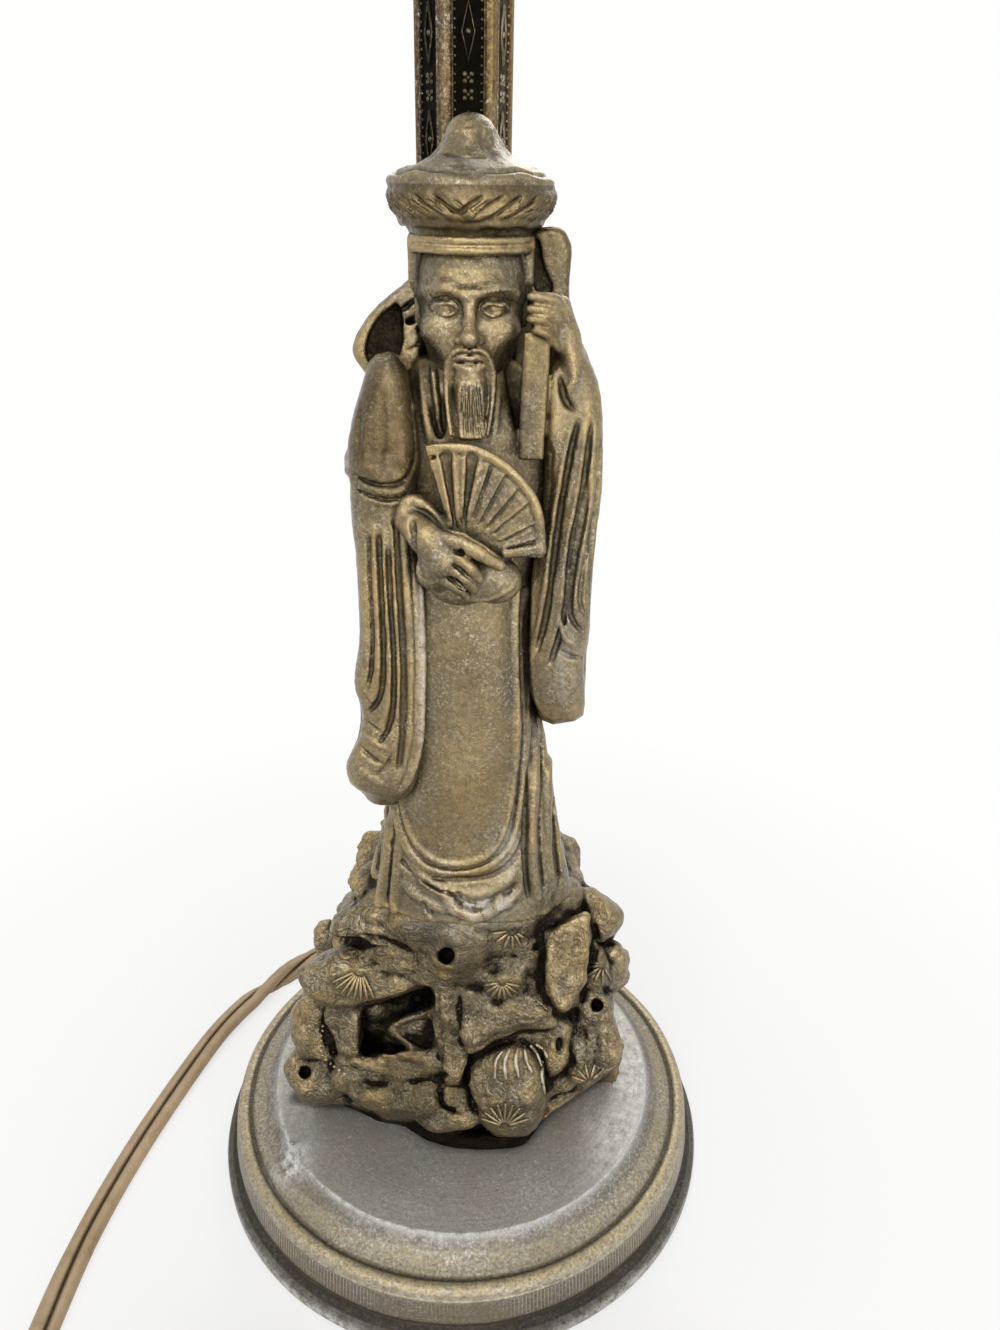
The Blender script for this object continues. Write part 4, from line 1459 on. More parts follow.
def sculptFan(spec):
    c = Clay(spec["low"], spec["high"], spec["cell"], -30)
    part, x, y, z = c.window(c.low, c.high)
    share = (c.plane - eye[1]) / (y - eye[1])
    across = eye[0] + (x - eye[0]) * share - spec["pivot"][0]
    up = eye[2] + (z - eye[2]) * share - spec["pivot"][1]
    angle, away = np.degrees(np.arctan2(up, across)), np.hypot(across, up)
    angles, reaches = np.array(spec["reach"], float).T
    edge = np.maximum(away - np.interp(angle, angles, reaches),
                      away * np.sin(np.radians(np.clip(3 - angle, -90, 90))))
    edge = np.maximum(edge, away * np.sin(np.radians(np.clip(angle - 106, -90, 90))))
    bowed = spec["face"] - 0.9 * np.clip(1 - ((angle - 55) / 55) ** 2, 0, 1)
    plate = np.maximum(np.maximum(edge, bowed - y), y - spec["back"])
    c.merge(part, plate.astype(np.float32), 0.6, False)
    c.settle()
    for inside, width, rise in ((0.8, 1.1, 0.3), (2.0, 0.6, -0.2)):
        c.stroke([onFan(spec, a, r - inside) for a, r in spec["reach"]], width, rise, fade=0)
    for a in spec["ribs"]:
        far = np.interp(a, angles, reaches) - 1.5
        c.stroke([onFan(spec, a, 7.5), onFan(spec, a, far)], 0.6, 0.25, fade=0.5)
        c.stroke([onFan(spec, a - 2.6, 7.5), onFan(spec, a - 2.0, far)], 0.6, -0.4, fade=0.5)
    for a in spec["pleats"]:
        far = np.interp(a, angles, reaches) - 1.2
        c.stroke([onFan(spec, a, 6.0), onFan(spec, a, far)], 2.6, -0.55, fade=1)
        for way in (1, -1):
            c.stroke([onFan(spec, a + way * 5.2, 6.0), onFan(spec, a + way * 4.2, far)], 0.9, 0.35)
    for a in (7.0, 10.5):
        c.stroke([onFan(spec, a, 8.0), onFan(spec, a, 16.2)], 1.1, 0.6, fade=0)
    c.skin = None
    # sash and the fan's rounded end below it
    c.egg(c.at((6.6, 179.4), -31.5), (5.6, 3.4, 4.8), (0, 20, 0), 0.8)
    c.egg(c.at((0.5, 178.6), -31.5), (6.0, 3.6, 4.6), (0, 0, 0), 1.2)
    c.stroke([(11.6, 181), (10.4, 177.4), (5.4, 174.9), (1.2, 175)], 0.8, 0.35)
    # the back of the hand, the cuff and the four fingers
    c.limb(c.seen([(-8.6, 190.6, -31), (-5.4, 187.4, -34), (-2.4, 183.4, -35.4)]), [3.0, 3.6, 3.6], 1.0)
    c.egg(c.at((-3.4, 181.8), -34.4), (3.8, 3.0, 5.0), (0, 38, 0), 1.5)
    for points, radii, soft in spec["fingers"]:
        c.limb(c.seen(points), radii, soft)
    c.strokes([[(-1.2, 184.9), (1.8, 183.6), (4.4, 181.9)], [(-1.4, 182.2), (0.8, 181.0), (2.4, 179.0)],
               [(-2.2, 179.6), (-0.4, 178.6), (1.2, 176.8)]], 0.7, -0.8, fade=1)
    c.stroke([(-3.0, 188.9), (1.4, 187.9), (5.6, 185.3), (8.6, 182.9)], 0.8, -0.6)
    c.stroke([(-10.6, 191.4), (-9.4, 194.2), (-7.4, 194.6), (-4.6, 192.4), (-1.4, 188.6)], 2.6, 1.1)
    c.stroke([(-8.4, 192.6), (-6.6, 192.6), (-4.2, 190.8), (-2.0, 188.6)], 1.0, -0.9)
    c.stroke([(-8.2, 191.4), (-8.2, 186), (-7.6, 181.5), (-6.2, 178.6)], 1.6, -1.2)
    c.roughen((3.0, 0.08, 51), (0.9, 0.06, 52))
    piece, x, y, z = c.cast("fan")
    guard = spot((x, 12.5, 3.5), (z, 184.2, 1.1))
    paint(piece, "gilt", 0.5 * guard + 0.3 * spot((x, 8, 4), (z, 178, 4)))
    return piece


head = dict(cell=0.25, low=(-13, -31, 199.5), high=(17, 0, 242), middle=2.1, depth=-13.5,
            eyes=226.9, brows=229.0, nose=220.7, mouth=217.9)


def sculptHead(spec):
    c = Clay(spec["low"], spec["high"], spec["cell"])
    mid, back, eyes, brows = spec["middle"], spec["depth"], spec["eyes"], spec["brows"]
    ahead = (0, 1, 0)

    def beside(side, *points):  # the same points on either side of the middle
        return [(mid + side * x, y, z) for x, y, z in points]

    c.egg((mid, back + 0.6, eyes + 3.2), (10.1, 11.2, 13.6), soft=2)
    c.egg((mid, back - 2.0, 220.4), (8.2, 8.9, 8.4), soft=3)
    c.limb([(mid, -11.5, 215), (mid, -10.5, 201)], 6.6, 2)
    for side in (-1, 1):
        c.egg((mid + side * 5.9, -20.2, 222.9), (3.0, 2.8, 2.9), soft=2.4)
        brow = beside(side, (7.4, -19.4, 229.0), (4.2, -22.9, 229.8), (1.2, -24.3, 229.0))
        c.limb(brow, [1.1, 1.4, 1.2], 1.5)
        c.egg((mid + side * 4.1, -25.0, eyes - 0.1), (2.9, 2.5, 1.9), soft=1.2, carve=True)
        c.egg((mid + side * 4.1, -21.6, eyes - 0.2), (2.5, 1.75, 1.7), soft=0.3)
        lid = beside(side, (1.9, -23.0, eyes - 0.5), (2.9, -23.6, eyes + 0.5), (4.2, -23.7, eyes + 0.75),
                     (5.5, -23.0, eyes + 0.4), (6.5, -21.9, eyes - 0.4))
        c.limb(smoothLine(lid, 0.4), 0.5, 0.25)
        under = beside(side, (1.9, -23.0, eyes - 0.6), (4.1, -23.2, eyes - 1.5), (6.3, -21.9, eyes - 0.5))
        c.limb(smoothLine(under, 0.4), 0.36, 0.3)
        crease = beside(side, (1.9, 0, brows - 1.0), (4.1, 0, brows - 0.35), (6.8, 0, brows - 1.4))
        c.stroke(crease, 0.55, -0.4, ahead, fade=1)
        for hair in range(9):   # brows of short hairs
            along = mid + side * (1.6 + hair * 0.72)
            c.stroke([(along, 0, brows + 0.2), (along + side * 0.8, 0, brows + 1.1)], 0.5, 0.25, ahead,
                     fade=0.5)
        c.egg((mid + side * 1.75, -25.6, spec["nose"] + 0.9), (1.05, 1.3, 0.95), soft=0.5)
        c.egg((mid + side * 9.7, -12.4, 225.2), (1.4, 2.6, 4.1), (0, side * 6, 0), 0.6)
        c.egg((mid + side * 10.9, -13.2, 225.6), (0.9, 1.5, 2.6), soft=0.4, carve=True)
    c.limb([(mid, -23.9, 228.4), (mid, -25.2, 225.2), (mid, -26.9, 222.2)], [0.95, 1.1, 1.35], 1.2)
    c.egg((mid, -27.0, spec["nose"] + 1.2), (1.5, 1.45, 1.3), soft=0.6)
    for side in (-1, 1):
        c.egg((mid + side * 0.95, -26.6, spec["nose"] - 0.1), (0.45, 0.6, 0.4), soft=0.2, carve=True)
    c.egg((mid, -21.9, spec["mouth"] + 0.2), (4.3, 2.9, 3.4), soft=2)
    mouth = spec["mouth"]
    upper = [(mid - 3.3, -23.6, mouth - 0.1), (mid - 1.1, -24.9, mouth + 0.75), (mid, -25.0, mouth + 0.5),
             (mid + 1.1, -24.9, mouth + 0.75), (mid + 3.3, -23.6, mouth - 0.1)]
    lower = [(mid - 2.8, -23.7, mouth - 0.5), (mid, -24.8, mouth - 1.2), (mid + 2.8, -23.7, mouth - 0.5)]
    c.limb(smoothLine(upper, 0.4), 0.62, 0.4)
    c.limb(smoothLine(lower, 0.4), 0.72, 0.4)
    c.stroke([(mid - 3.6, 0, mouth - 0.2), (mid, 0, mouth - 0.05), (mid + 3.6, 0, mouth - 0.2)], 0.5, -0.6,
             ahead, fade=1)
    c.stroke([(mid, 0, mouth + 2.4), (mid, 0, mouth + 1.3)], 0.9, -0.25, ahead, fade=0.5)
    c.egg((mid, -22.0, 213.9), (3.1, 2.6, 2.3), soft=1.5)
    # hair over the ears, the band under the hat and the hanging ribbon
    for side in (-1, 1):
        lock = beside(side, (9.8, -15.8, 237), (10.2, -15.4, 230.6), (9.9, -14.6, 228.2))
        c.limb(lock, [1.5, 1.1, 0.5], 0.6)
    for height, radius, rise in ((237.5, 0.75, 0.35), (235.9, 0.75, 0.3), (236.7, 0.45, 0.0)):
        ring = [(mid + (10.25 + rise) * math.cos(a), back + 0.5 + (11.35 + rise) * math.sin(a), height)
                for a in np.linspace(0, 2 * math.pi, 60)]
        c.limb(ring, radius, 0.3)
    ribbon = smoothLine([(-9.4, 239.5), (-8.8, 234.2), (-8.2, 229.2), (-7.8, 224.1), (-7.0, 214.4),
                         (-6.5, 203)], 2)
    depths = np.interp(ribbon[:, 1], [205, 216, 226, 240], [-27.5, -25.5, -20.5, -18.5])
    for aside, thick in ((-0.55, 0.8), (0.75, 0.65)):
        c.limb([c.at((x + aside, z), d) for (x, z), d in zip(ribbon, depths)], thick, 0.3)
    # a long thin moustache and a narrow stranded beard with a square end
    c.limb([(mid, -22.4, 214.4), (mid + 0.2, -23.9, 210.5)], [3.2, 2.8], 1.5)
    c.slab((mid + 0.4, -24.6, 208.9), (2.3, 2.0, 4.7), (-6, 0, 0), 0.8, 1.5)
    for strand in range(5):
        x = mid - 1.5 + strand * 0.9
        start = (mid + (x - mid) * 0.6, 0, 215.6 - 0.5 * (strand % 2))
        line = [start, (mid + (x - mid) * 0.85, 0, 212), (x + 0.1, 0, 208), (x + 0.35, 0, 204.6)]
        c.stroke(line, 0.6, -0.55, ahead, fade=2)
    for side in (-1, 1):
        strand = beside(side, (0.6, -25.7, 220.1), (2.4, -25.2, 219.7), (3.9, -24.2, 217.2),
                        (4.2, -23.9, 213.4), (3.9, -25.0, 209.4), (3.3, -26.5, 205.4))
        strand = smoothLine(strand, 0.5)
        along = np.linspace(0, 1, len(strand))
        c.limb(strand, np.interp(along, [0, 0.25, 1], [0.5, 0.75, 0.32]), 0.35)
        c.limb(strand + np.array((-side * 0.6, 0.25, -0.4)), np.interp(along, [0, 0.3, 1], [0.3, 0.5, 0.2]),
               0.25)
        c.stroke(beside(side, (0.9, 0, 219.9), (2.7, 0, 219.1), (3.9, 0, 216.4)), 0.35, -0.3, ahead)
    c.roughen((2.6, 0.07, 61), (0.9, 0.05, 62))
    c.trim((-12, -30.5, 200), (16, -0.6, 238.6))
    c.clearColumn()
    piece, x, y, z = c.cast("head", 0.7, 1.9)
    gilt = 0.9 * spot((z, 236.8, 1.3)) + 0.4 * (y < -22) * (z < 233) * (z > 214)
    paint(piece, "gilt", gilt)
    return piece


hat = dict(
    cell=0.25, centre=(1.9, -13.5), leaves=26, leafLow=240.6, leafHigh=245.0,
    profile=[(10.8, 237.4), (11.2, 238.6), (11.9, 239.6), (13.4, 241.2), (14.5, 243.0), (14.8, 244.5),
             (14.4, 246.0), (13.2, 247.2), (11.2, 248.2), (8.9, 249.2), (7.0, 250.3), (5.7, 251.6),
             (4.8, 253.0), (4.1, 254.2)])


def sculptHat(spec):
    cx, cy = spec["centre"]
    c = Clay((cx - 17, cy - 17, 236), (cx + 17, cy + 17, 259), spec["cell"])
    c.turned(spec["profile"], spec["centre"], lambda a, z: 0.25 * np.sin(3 * a + 0.7) + 0.15 * np.sin(7 * a))

    def around(angle, height):
        return (cx + 20 * math.cos(angle), cy + 20 * math.sin(angle), height)

    chance = np.random.default_rng(5)
    low, high = spec["leafLow"], spec["leafHigh"]
    for index in range(spec["leaves"]):   # leaves that lean away from the front
        angle = 2 * math.pi * (index + 0.5 + chance.uniform(-0.2, 0.2)) / spec["leaves"] - math.pi / 2
        lean = 0.16 if math.cos(angle) < 0 else -0.16
        way = (-math.cos(angle), -math.sin(angle), 0)
        leaf = [around(angle + lean * 0.9, low), around(angle + lean * 0.35, low + 1.3),
                around(angle - lean * 0.3, low + 3.0), around(angle - lean * 1.2, high)]
        c.stroke(leaf, chance.uniform(1.2, 1.8), chance.uniform(0.35, 0.6), way, fade=2)
        c.stroke([around(angle + lean * 0.8, low + 0.8), around(angle - lean * 0.6, low + 3.4)], 0.55,
                 -0.45, way, fade=1)
    for index in range(spec["leaves"]):
        angle = 2 * math.pi * index / spec["leaves"] - math.pi / 2
        lean = 0.16 if math.cos(angle) < 0 else -0.16
        way = (-math.cos(angle), -math.sin(angle), 0)
        c.stroke([around(angle + lean * 0.9, low + 0.2), around(angle - lean * 0.9, high - 0.4)], 0.9, -0.6,
                 way, fade=1.2)
    c.egg((cx, cy, 253.9), (4.15, 4.0, 3.0), soft=0.8)
    radii, heights = np.array(spec["profile"]).T
    for height, thick, out, sway in ((246.7, 0.75, -0.15, 0.35), (247.9, 0.6, -0.1, 0.3),
                                     (240.0, 0.6, 0.0, 0.1)):
        turn = np.linspace(0, 2 * math.pi, 120)
        level = height + sway * np.sin(5 * turn) + 0.12 * np.sin(13 * turn)
        away = np.interp(level, heights, radii) + out
        c.limb(np.stack([cx + away * np.cos(turn), cy + away * np.sin(turn), level], 1), thick, 0.7)
    c.strokes([[(-3.5, 252), (-1.8, 250.4), (1.5, 249.8), (5.4, 250.1)],
               [(-8.5, 248.4), (-4, 248.7), (1, 248.9)]], 0.7, -0.4)
    c.roughen((2.6, 0.1, 71), (0.9, 0.06, 72))
    c.clearColumn()
    piece, x, y, z = c.cast("hat", 0.8, 2.0)
    front = np.clip((-y - 12) / 10, 0, 1)
    paint(piece, "gilt", front * (0.5 * spot((z, 242.6, 1.9), (x, 4, 7)) + 0.12 * spot((z, 242.8, 2.2))))
    paint(piece, "bronze", 0.95 * (z < 246))
    paint(piece, "pale", 0.5 * front * spot((z, 249.0, 1.0), (x, 2, 6)))
    return piece


bundle = dict(
    cell=0.36, low=(-26, -21, 206), high=(26, -0.2, 245), start=(-12.6, -8, 219.4), end=(12.2, -8, 231.0),
    radius=5.4,
    hood=[(-6, 233), (-8.5, 231.3), (-9.5, 230.2), (-11.3, 229.0), (-13.1, 227.5), (-15.2, 225.4),
          (-16.6, 223.3), (-17.4, 221.8), (-17.9, 220.2), (-17.6, 218.8), (-16.7, 217.4), (-15.0, 215),
          (-8, 214), (-6, 220)],
    mouth=[(-9.4, 228.3), (-12.1, 226.5), (-13.7, 224.8), (-14.9, 223.0), (-15.5, 221.2), (-15.7, 218.8),
           (-14.7, 217.6), (-12.3, 218.0), (-9.0, 220)],
    block=[(12.3, 239.2), (13.2, 239.7), (16.6, 240), (17.8, 239.3), (18.6, 237.9), (19, 236.7),
           (18.8, 233.5), (18.9, 229.4), (19, 224), (13, 222), (12, 230)],
    gap=[(12.4, 236.8), (13.0, 238.4), (13.7, 237.8), (14.4, 234.2), (16.5, 230.0), (13.7, 229.5),
         (12.5, 231.7)])


def sculptBundle(spec):
    c = Clay(spec["low"], spec["high"], spec["cell"])
    start, end = np.array(spec["start"], float), np.array(spec["end"], float)
    c.limb([start, start * 0.5 + end * 0.5, end], spec["radius"], 1.0)
    c.plate(spec["hood"], -14.5, 9, 0.0, 1.2, 1.0)
    c.plate(spec["mouth"], -30, 23, 0.0, 0.4, 0.6, carve=True)
    way = (end - start) / np.linalg.norm(end - start)
    rear = np.array((0, 1, 0))
    side = np.cross(way, rear)
    for share in np.linspace(0.04, 0.96, 17):   # creases run along the roll, and two cords tie it
        turn = share * 2 * math.pi
        around = rear * math.cos(turn) + side * math.sin(turn)
        points = [start + way * k + around * 12 for k in (1.0, 10.0, 19.0, 27.0)]
        c.stroke([tuple(p) for p in points], 0.8, -0.5, tuple(-around), fade=3)
    for along in (7.0, 21.0):
        ring = [start + way * along + (rear * math.cos(t) + side * math.sin(t)) * (spec["radius"] + 0.2)
                for t in np.linspace(0, 2 * math.pi, 40)]
        c.limb(ring, 0.9, 0.3)
    c.plate(spec["block"], -15.5, 8, 0.0, 1.0, 0.8, 0.4)
    c.stroke([(12.6, 238.9), (15.2, 239.3), (17.4, 238.6)], 0.9, 0.4)
    c.plate(spec["gap"], -30, 18, 0.0, 0.3, 0.4, carve=True)
    c.limb([c.at(p, -17) for p in ((13.6, 238.4), (14.2, 234.8), (15.8, 232.2), (17.0, 230.6),
                                   (18.4, 227.7))], 0.75, 0.3)
    c.roughen((3.4, 0.12, 81), (1.1, 0.07, 82))
    c.trim((-25, -19.5, 206.5), (25, -0.5, 243))
    c.clearColumn()
    piece, x, y, z = c.cast("bundle")
    paint(piece, "gilt", 0.9 * spot((x, 15, 3), (z, 240.5, 1.3)) + 0.7 * spot((x, -18, 3), (z, 217, 4)))
    inHood = (x < -8.5) * (z > 216) * (z < 229) * (y < -2)
    paint(piece, "grime", 0.9 * inHood * np.clip((y + 13.6) / 1.5, 0, 1))
    paint(piece, "bronze", 0.7 * (x > 10) * (z > 222))
    return piece


sculptFan(fan)
sculptHead(head)
sculptHat(hat)
sculptBundle(bundle)
shadeCastings()
print("fan, head, hat and bundle done")


class Pattern(Wiring):  # a Geometry Nodes tree with named inputs
    kinds = {float: "NodeSocketFloat", int: "NodeSocketInt", tuple: "NodeSocketVector",
             bpy.types.Object: "NodeSocketObject", bpy.types.Material: "NodeSocketMaterial"}

    def __init__(self, name, **values):
        self.values = values
        super().__init__(bpy.data.node_groups.new(name, "GeometryNodeTree"))
        self.tree.interface.new_socket("Geometry", in_out="OUTPUT", socket_type="NodeSocketGeometry")
        self.sockets = {}
        for key, value in values.items():
            kind = self.kinds[type(value)]
            self.sockets[key] = self.tree.interface.new_socket(key, in_out="INPUT", socket_type=kind)
        self.given = self.tree.nodes.new("NodeGroupInput").outputs

    def step(self, kind, **entries):  # its entries are named as the node's, without the spaces
        node = self.add(kind)
        for socket in node.inputs:
            self.put(entries.get(socket.name.replace(" ", "")), socket)
        return node.outputs[0]

    def place(self, x=0.0, y=0.0, z=0.0):
        return self.step("ShaderNodeCombineXYZ", X=x, Y=y, Z=z)

    def template(self, key):
        node = self.tree.nodes.new("GeometryNodeObjectInfo")
        self.tree.links.new(self.given[key], node.inputs["Object"])
        return node.outputs["Geometry"]

    def row(self, template, count, start, offset):
        line = self.step("GeometryNodeMeshLine", Count=count, StartLocation=start, Offset=offset)
        return self.step("GeometryNodeInstanceOnPoints", Points=line, Instance=template)

    def around(self, shape, count, centre, turn):  # copies about a vertical line
        line = self.step("GeometryNodeMeshLine", Count=count, StartLocation=centre, Offset=(0, 0, 0))
        index = self.add("GeometryNodeInputIndex").outputs[0]
        angle = self.plus(self.times(index, self.sum("DIVIDE", 2 * math.pi, count)), turn)
        rotation = self.place(z=angle)
        return self.step("GeometryNodeInstanceOnPoints", Points=line, Instance=shape, Rotation=rotation)

    def join(self, *shapes):
        node = self.tree.nodes.new("GeometryNodeJoinGeometry")
        for shape in shapes:
            self.tree.links.new(shape, node.inputs[0])
        return node.outputs[0]

    def make(self, name, shape):  # the pattern as a plain mesh
        whole = self.step("GeometryNodeRealizeInstances", Geometry=shape)
        coated = self.step("GeometryNodeSetMaterial", Geometry=whole, Material=self.given["Material"])
        self.tree.links.new(coated, self.tree.nodes.new("NodeGroupOutput").inputs[0])
        holder = addMesh(name + "Holder", [(0, 0, 0)], [])
        modifier = holder.modifiers.new("pattern", "NODES")
        modifier.node_group = self.tree
        for key, value in self.values.items():
            modifier[self.sockets[key].identifier] = value
        graph = bpy.context.evaluated_depsgraph_get()
        mesh = bpy.data.meshes.new_from_object(holder.evaluated_get(graph))
        bpy.data.objects.remove(holder)
        piece = bpy.data.objects.new(name, mesh)
        scene.collection.objects.link(piece)
        return piece


def makeRidges(spec):
    low, high = spec["ridgeLow"], spec["ridgeHigh"]
    half = spec["ridgeHalf"]
    verts = []
    for z in (low, low + 0.4, high - 0.4, high):
        wall = spec["bandRadius"] - spec["bandLean"] * (z - spec["bandLow"])
        proud = spec["ridgeProud"] if low < z < high else -0.05
        verts += [(wall - 0.15, -half, z), (wall + proud, 0, z), (wall - 0.15, half, z)]
    ridge = addMesh("ridge", verts, [(0, 2, 1), (9, 10, 11)] + ringFaces(4, 3))
    outwards(ridge)
    pattern = Pattern("bandRidges", Ridge=ridge, Count=spec["ridges"], Material=finishes["base"])
    ring = pattern.around(pattern.template("Ridge"), pattern.given["Count"], (0, 0, 0), 0.0)
    piece = pattern.make("base_ridges", ring)
    bpy.data.objects.remove(ridge)
    paint(piece, "hollow", 0.42)
    paint(piece, "gilt", 0.15)
    return wearFinish(piece, finishes["base"])


makeRidges(base)
print("band ridged")


column = dict(
    across=18.7, centre=(0.0, 9.0), turn=7.5, low=100.3, high=345.0, wall=1.2, band=5.5, recess=0.4,
    cornerRound=0.35, beadPitch=1.4, beadSize=0.34, beadSide=2.45, repeat=16.9, firstLozenge=118.2,
    lozenge=(2.7, 10.2), flowerGap=2.7)


def makeColumn(spec):
    reach, recess, half = spec["across"] / 2, spec["recess"], spec["band"] / 2
    flat = reach * math.cos(math.pi / 6)
    outline = []
    for side in range(6):
        middle = math.radians(60 * side + 30 + spec["turn"])
        out, along = (math.cos(middle), math.sin(middle)), (-math.sin(middle), math.cos(middle))
        for s, depth in ((-reach / 2 + spec["cornerRound"], 0.0), (-half - 0.55, 0.0),
                         (-half - 0.35, -0.12), (-half - 0.15, 0.1), (-half, 0.0), (-half + 0.12, -recess),
                         (half - 0.12, -recess), (half, 0.0), (half + 0.15, 0.1), (half + 0.35, -0.12),
                         (half + 0.55, 0.0), (reach / 2 - spec["cornerRound"], 0.0)):
            outline.append((out[0] * (flat + depth) + along[0] * s, out[1] * (flat + depth) + along[1] * s))
        corner = middle + math.pi / 6
        outline.append(((reach - 0.16) * math.cos(corner), (reach - 0.16) * math.sin(corner)))
    outline = np.array(outline)
    inner = outline * ((flat - spec["wall"]) / np.hypot(*outline.T))[:, None]
    heights = np.linspace(spec["low"], spec["high"], 50)
    walls = [(outline, z) for z in heights] + [(inner, z) for z in heights[::-1]]
    verts = np.concatenate([np.column_stack([ring + spec["centre"], np.full(len(ring), z)])
                            for ring, z in walls])
    piece = addMesh("column_skin", verts, ringFaces(len(walls), len(outline), closed=True))
    outwards(piece)
    piece.data.polygons.foreach_set("use_smooth", [False] * len(piece.data.polygons))
    x, y, z = vertsOf(piece).T
    away = np.hypot(x - spec["centre"][0], y - spec["centre"][1])
    turn = np.degrees(np.arctan2(y - spec["centre"][1], x - spec["centre"][0])) - spec["turn"] - 30
    turn = (turn + 30) % 60 - 30
    across = away * np.sin(np.radians(turn))
    depth = flat - away * np.cos(np.radians(turn))
    sunk = (np.abs(across) < half - 0.05) & (depth > recess / 2)
    paint(piece, "hollow", 0.46 + 0.07 * (np.abs(across) < half + 0.1) + 0.05 * sunk)
    sunlit = np.clip((x - spec["centre"][0] - 5) / 3, 0, 1)   # the side that was handled is rubbed brighter
    paint(piece, "grime", (1.0 - 0.5 * sunlit) * sunk)
    paint(piece, "gilt", 0.6 * (np.abs(across) > reach / 2 - 0.8)
          + 0.45 * (np.abs(np.abs(across) - half - 0.15) < 0.12) + 0.45 * sunlit)
    paint(piece, "busy", 0.5)
    return wearFinish(piece, finishes["column"], stands=("column_tube",))


def beadShape(size):
    verts, faces, sides = [(size * 0.75, 0, 0)], [], 7
    for away, out in ((0.62, 0.55), (1.0, -0.15)):
        verts += [(size * out, size * away * math.cos(a), size * away * math.sin(a))
                  for a in np.arange(sides) * 2 * math.pi / sides]
    for step in range(sides):
        after = (step + 1) % sides
        faces += [(0, 1 + step, 1 + after), (1 + step, 1 + sides + step, 1 + sides + after, 1 + after)]
    faces.append(tuple(1 + sides + step for step in range(sides))[::-1])
    return verts, faces


def bossShape(radius, rise, sides):
    verts, faces = [(rise, 0, 0)], []
    for away, out in ((0.5, 0.85), (0.85, 0.4), (1.0, -0.3)):
        for step in range(sides):
            a = step * 2 * math.pi / sides
            verts.append((rise * out, radius * away * math.cos(a), radius * away * math.sin(a)))
    for step in range(sides):
        after = (step + 1) % sides
        faces.append((0, 1 + step, 1 + after))
        for ring in (0, 1):
            a, b = 1 + ring * sides, 1 + (ring + 1) * sides
            faces.append((a + step, b + step, b + after, a + after))
    faces.append(tuple(1 + 2 * sides + step for step in range(sides))[::-1])
    return verts, faces


def joined(*shapes):  # several closed shapes in one mesh, each moved across and up
    verts, faces = [], []
    for (shapeVerts, shapeFaces), (across, up) in shapes:
        start = len(verts)
        verts += [(x, y + across, z + up) for x, y, z in shapeVerts]
        faces += [tuple(start + index for index in face) for face in shapeFaces]
    return verts, faces


def lozengeShape(width, height, bar=0.62, rise=0.42):
    verts = []
    corners = ((0, height / 2), (width / 2, 0), (0, -height / 2), (-width / 2, 0))
    for y, z in corners:
        shrink = 1 - bar * (0.62 if y else 1.9) / max(abs(y), abs(z))
        for share, out in ((1.0, -0.1), (0.5 + shrink / 2, rise), (shrink, -0.1)):
            verts.append((out, y * share, z * share))
    return verts, ringFaces(4, 3, closed=True, flip=True)


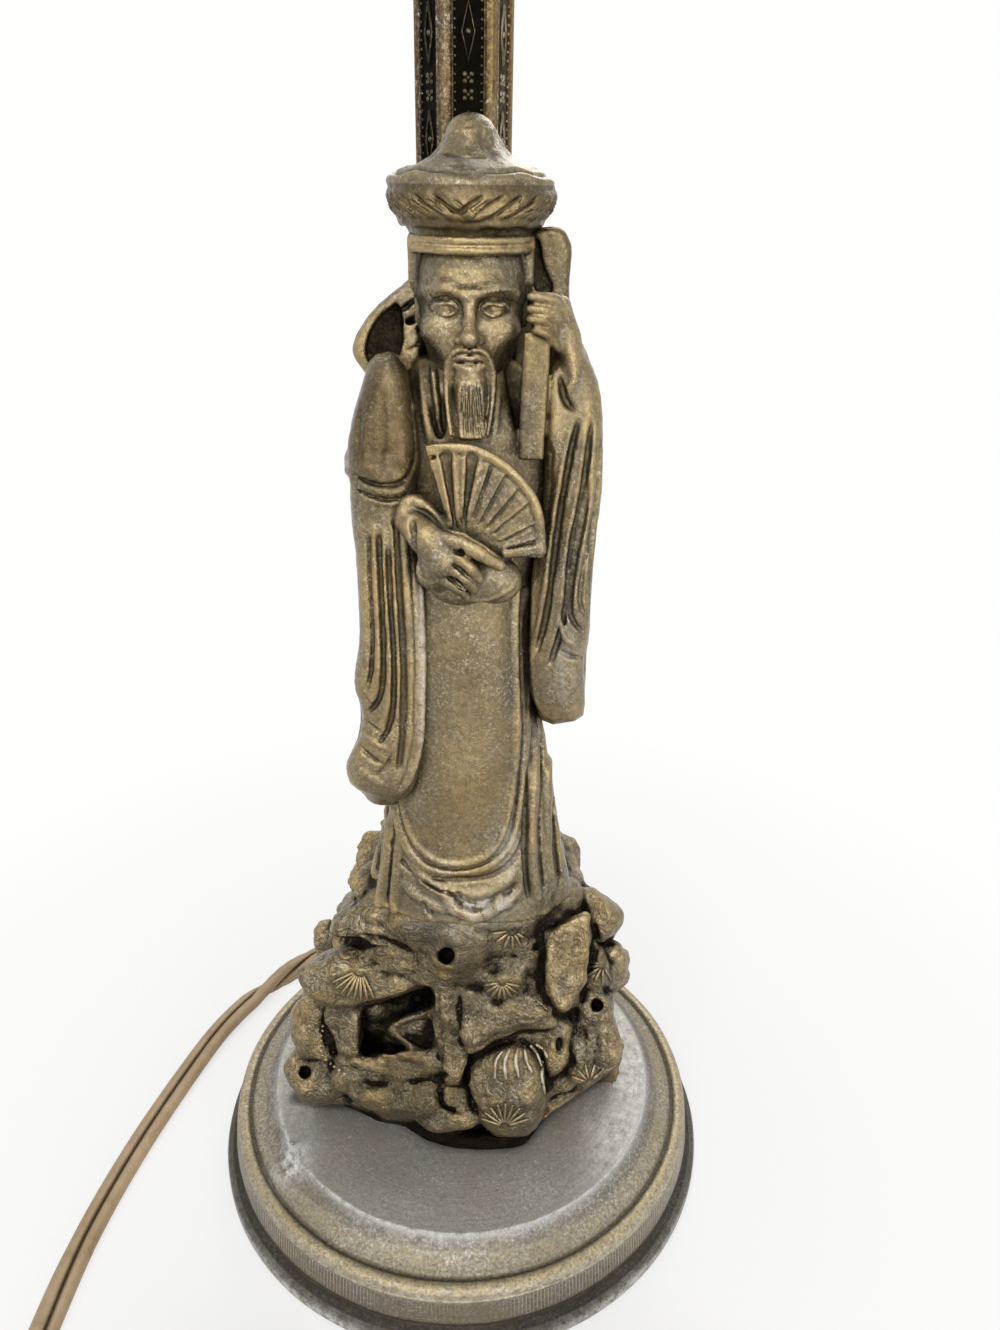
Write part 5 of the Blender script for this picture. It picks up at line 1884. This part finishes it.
def makeOrnament(spec):
    flat = spec["across"] / 2 * math.cos(math.pi / 6) - spec["recess"]
    bead = addMesh("bead", *beadShape(spec["beadSize"]))
    corners = ((0.62, 0.55), (-0.62, 0.55), (0.62, -0.55), (-0.62, -0.55))
    petals = [(bossShape(0.52, 0.3, 6), corner) for corner in corners]
    flower = addMesh("flower", *joined((bossShape(0.4, 0.42, 6), (0, 0)), *petals))
    lozenge = addMesh("lozenge", *joined((lozengeShape(*spec["lozenge"]), (0, 0)),
                                         (bossShape(0.62, 0.42, 10), (0, 0))))
    for template in (bead, flower, lozenge):
        outwards(template)
    length = spec["high"] - spec["low"]
    pattern = Pattern(
        "columnOrnament", Bead=bead, Flower=flower, Lozenge=lozenge, FaceDistance=flat * mm,
        BeadPitch=spec["beadPitch"] * mm, BeadCount=int((length - 6) / spec["beadPitch"]),
        BeadSide=spec["beadSide"] * mm, Repeat=spec["repeat"] * mm,
        RepeatCount=int((length - 14) / spec["repeat"]), Low=(spec["low"] + 6.6) * mm,
        FirstLozenge=spec["firstLozenge"] * mm, FlowerGap=spec["flowerGap"] * mm,
        Centre=(spec["centre"][0] * mm, spec["centre"][1] * mm, 0.0), Turn=math.radians(spec["turn"] + 30),
        Material=finishes["column"])
    given = pattern.given
    rise, step = pattern.place(z=given["BeadPitch"]), pattern.place(z=given["Repeat"])
    half = pattern.times(given["Repeat"], 0.5)

    def shapeRow(name, count, across, height, offset):  # a row of one shape up the face
        start = pattern.place(given["FaceDistance"], across, height)
        return pattern.row(pattern.template(name), given[count], start, offset)

    beads = [shapeRow("Bead", "BeadCount", side, given["Low"], rise)
             for side in (given["BeadSide"], pattern.times(given["BeadSide"], -1.0))]
    lozenges = shapeRow("Lozenge", "RepeatCount", 0.0, given["FirstLozenge"], step)
    flowers = []
    for way in (-0.5, 0.5):
        above = pattern.less(pattern.times(given["FlowerGap"], way), half)
        height = pattern.plus(given["FirstLozenge"], above)
        flowers.append(shapeRow("Flower", "RepeatCount", 0.0, height, step))
    face = pattern.join(*beads, lozenges, *flowers)
    piece = pattern.make("column_ornament", pattern.around(face, 6, given["Centre"], given["Turn"]))
    for template in (bead, flower, lozenge):
        bpy.data.objects.remove(template)
    x = vertsOf(piece)[:, 0]
    rubbedSide = np.clip((x - spec["centre"][0] - 4) / 3, 0, 1)
    paint(piece, "hollow", 0.47 - 0.05 * rubbedSide)
    paint(piece, "gilt", 0.04 + 0.8 * rubbedSide)
    paint(piece, "pale", 0.04 + 0.5 * rubbedSide)
    return wearFinish(piece, finishes["column"])


makeColumn(column)
makeOrnament(column)
print("column ornamented")


def paintNodes(table):
    for finish, names in table.items():
        for name in names:
            slots = nodes[name].data.materials
            if not len(slots):
                slots.append(finishes[finish])
            for index in range(len(slots)):
                slots[index] = finishes[finish]


paintNodes(dict(
    felt=("felt_pad",), iron=("base_weight",), board=("shell_liner",), porcelain=("socket_body",),
    steel=("pipe_washer", "pipe_nut", "lamp_pipe", "plinth_screws", "figure_screw", "cap_set_screw"),
    turnedBrass=("column_foot", "column_cap", "neck_ring", "switch_shaft"),
    socketBrass=("socket_cap", "socket_shell"), knob=("switch_rotor", "switch_knob"),
    contactBrass=("screw_shell", "centre_contact", "terminal_screws", "plug_blades"),
    cord=("inner_cord", "relief_cores"), plug=("cord_grommet", "plug_body")))
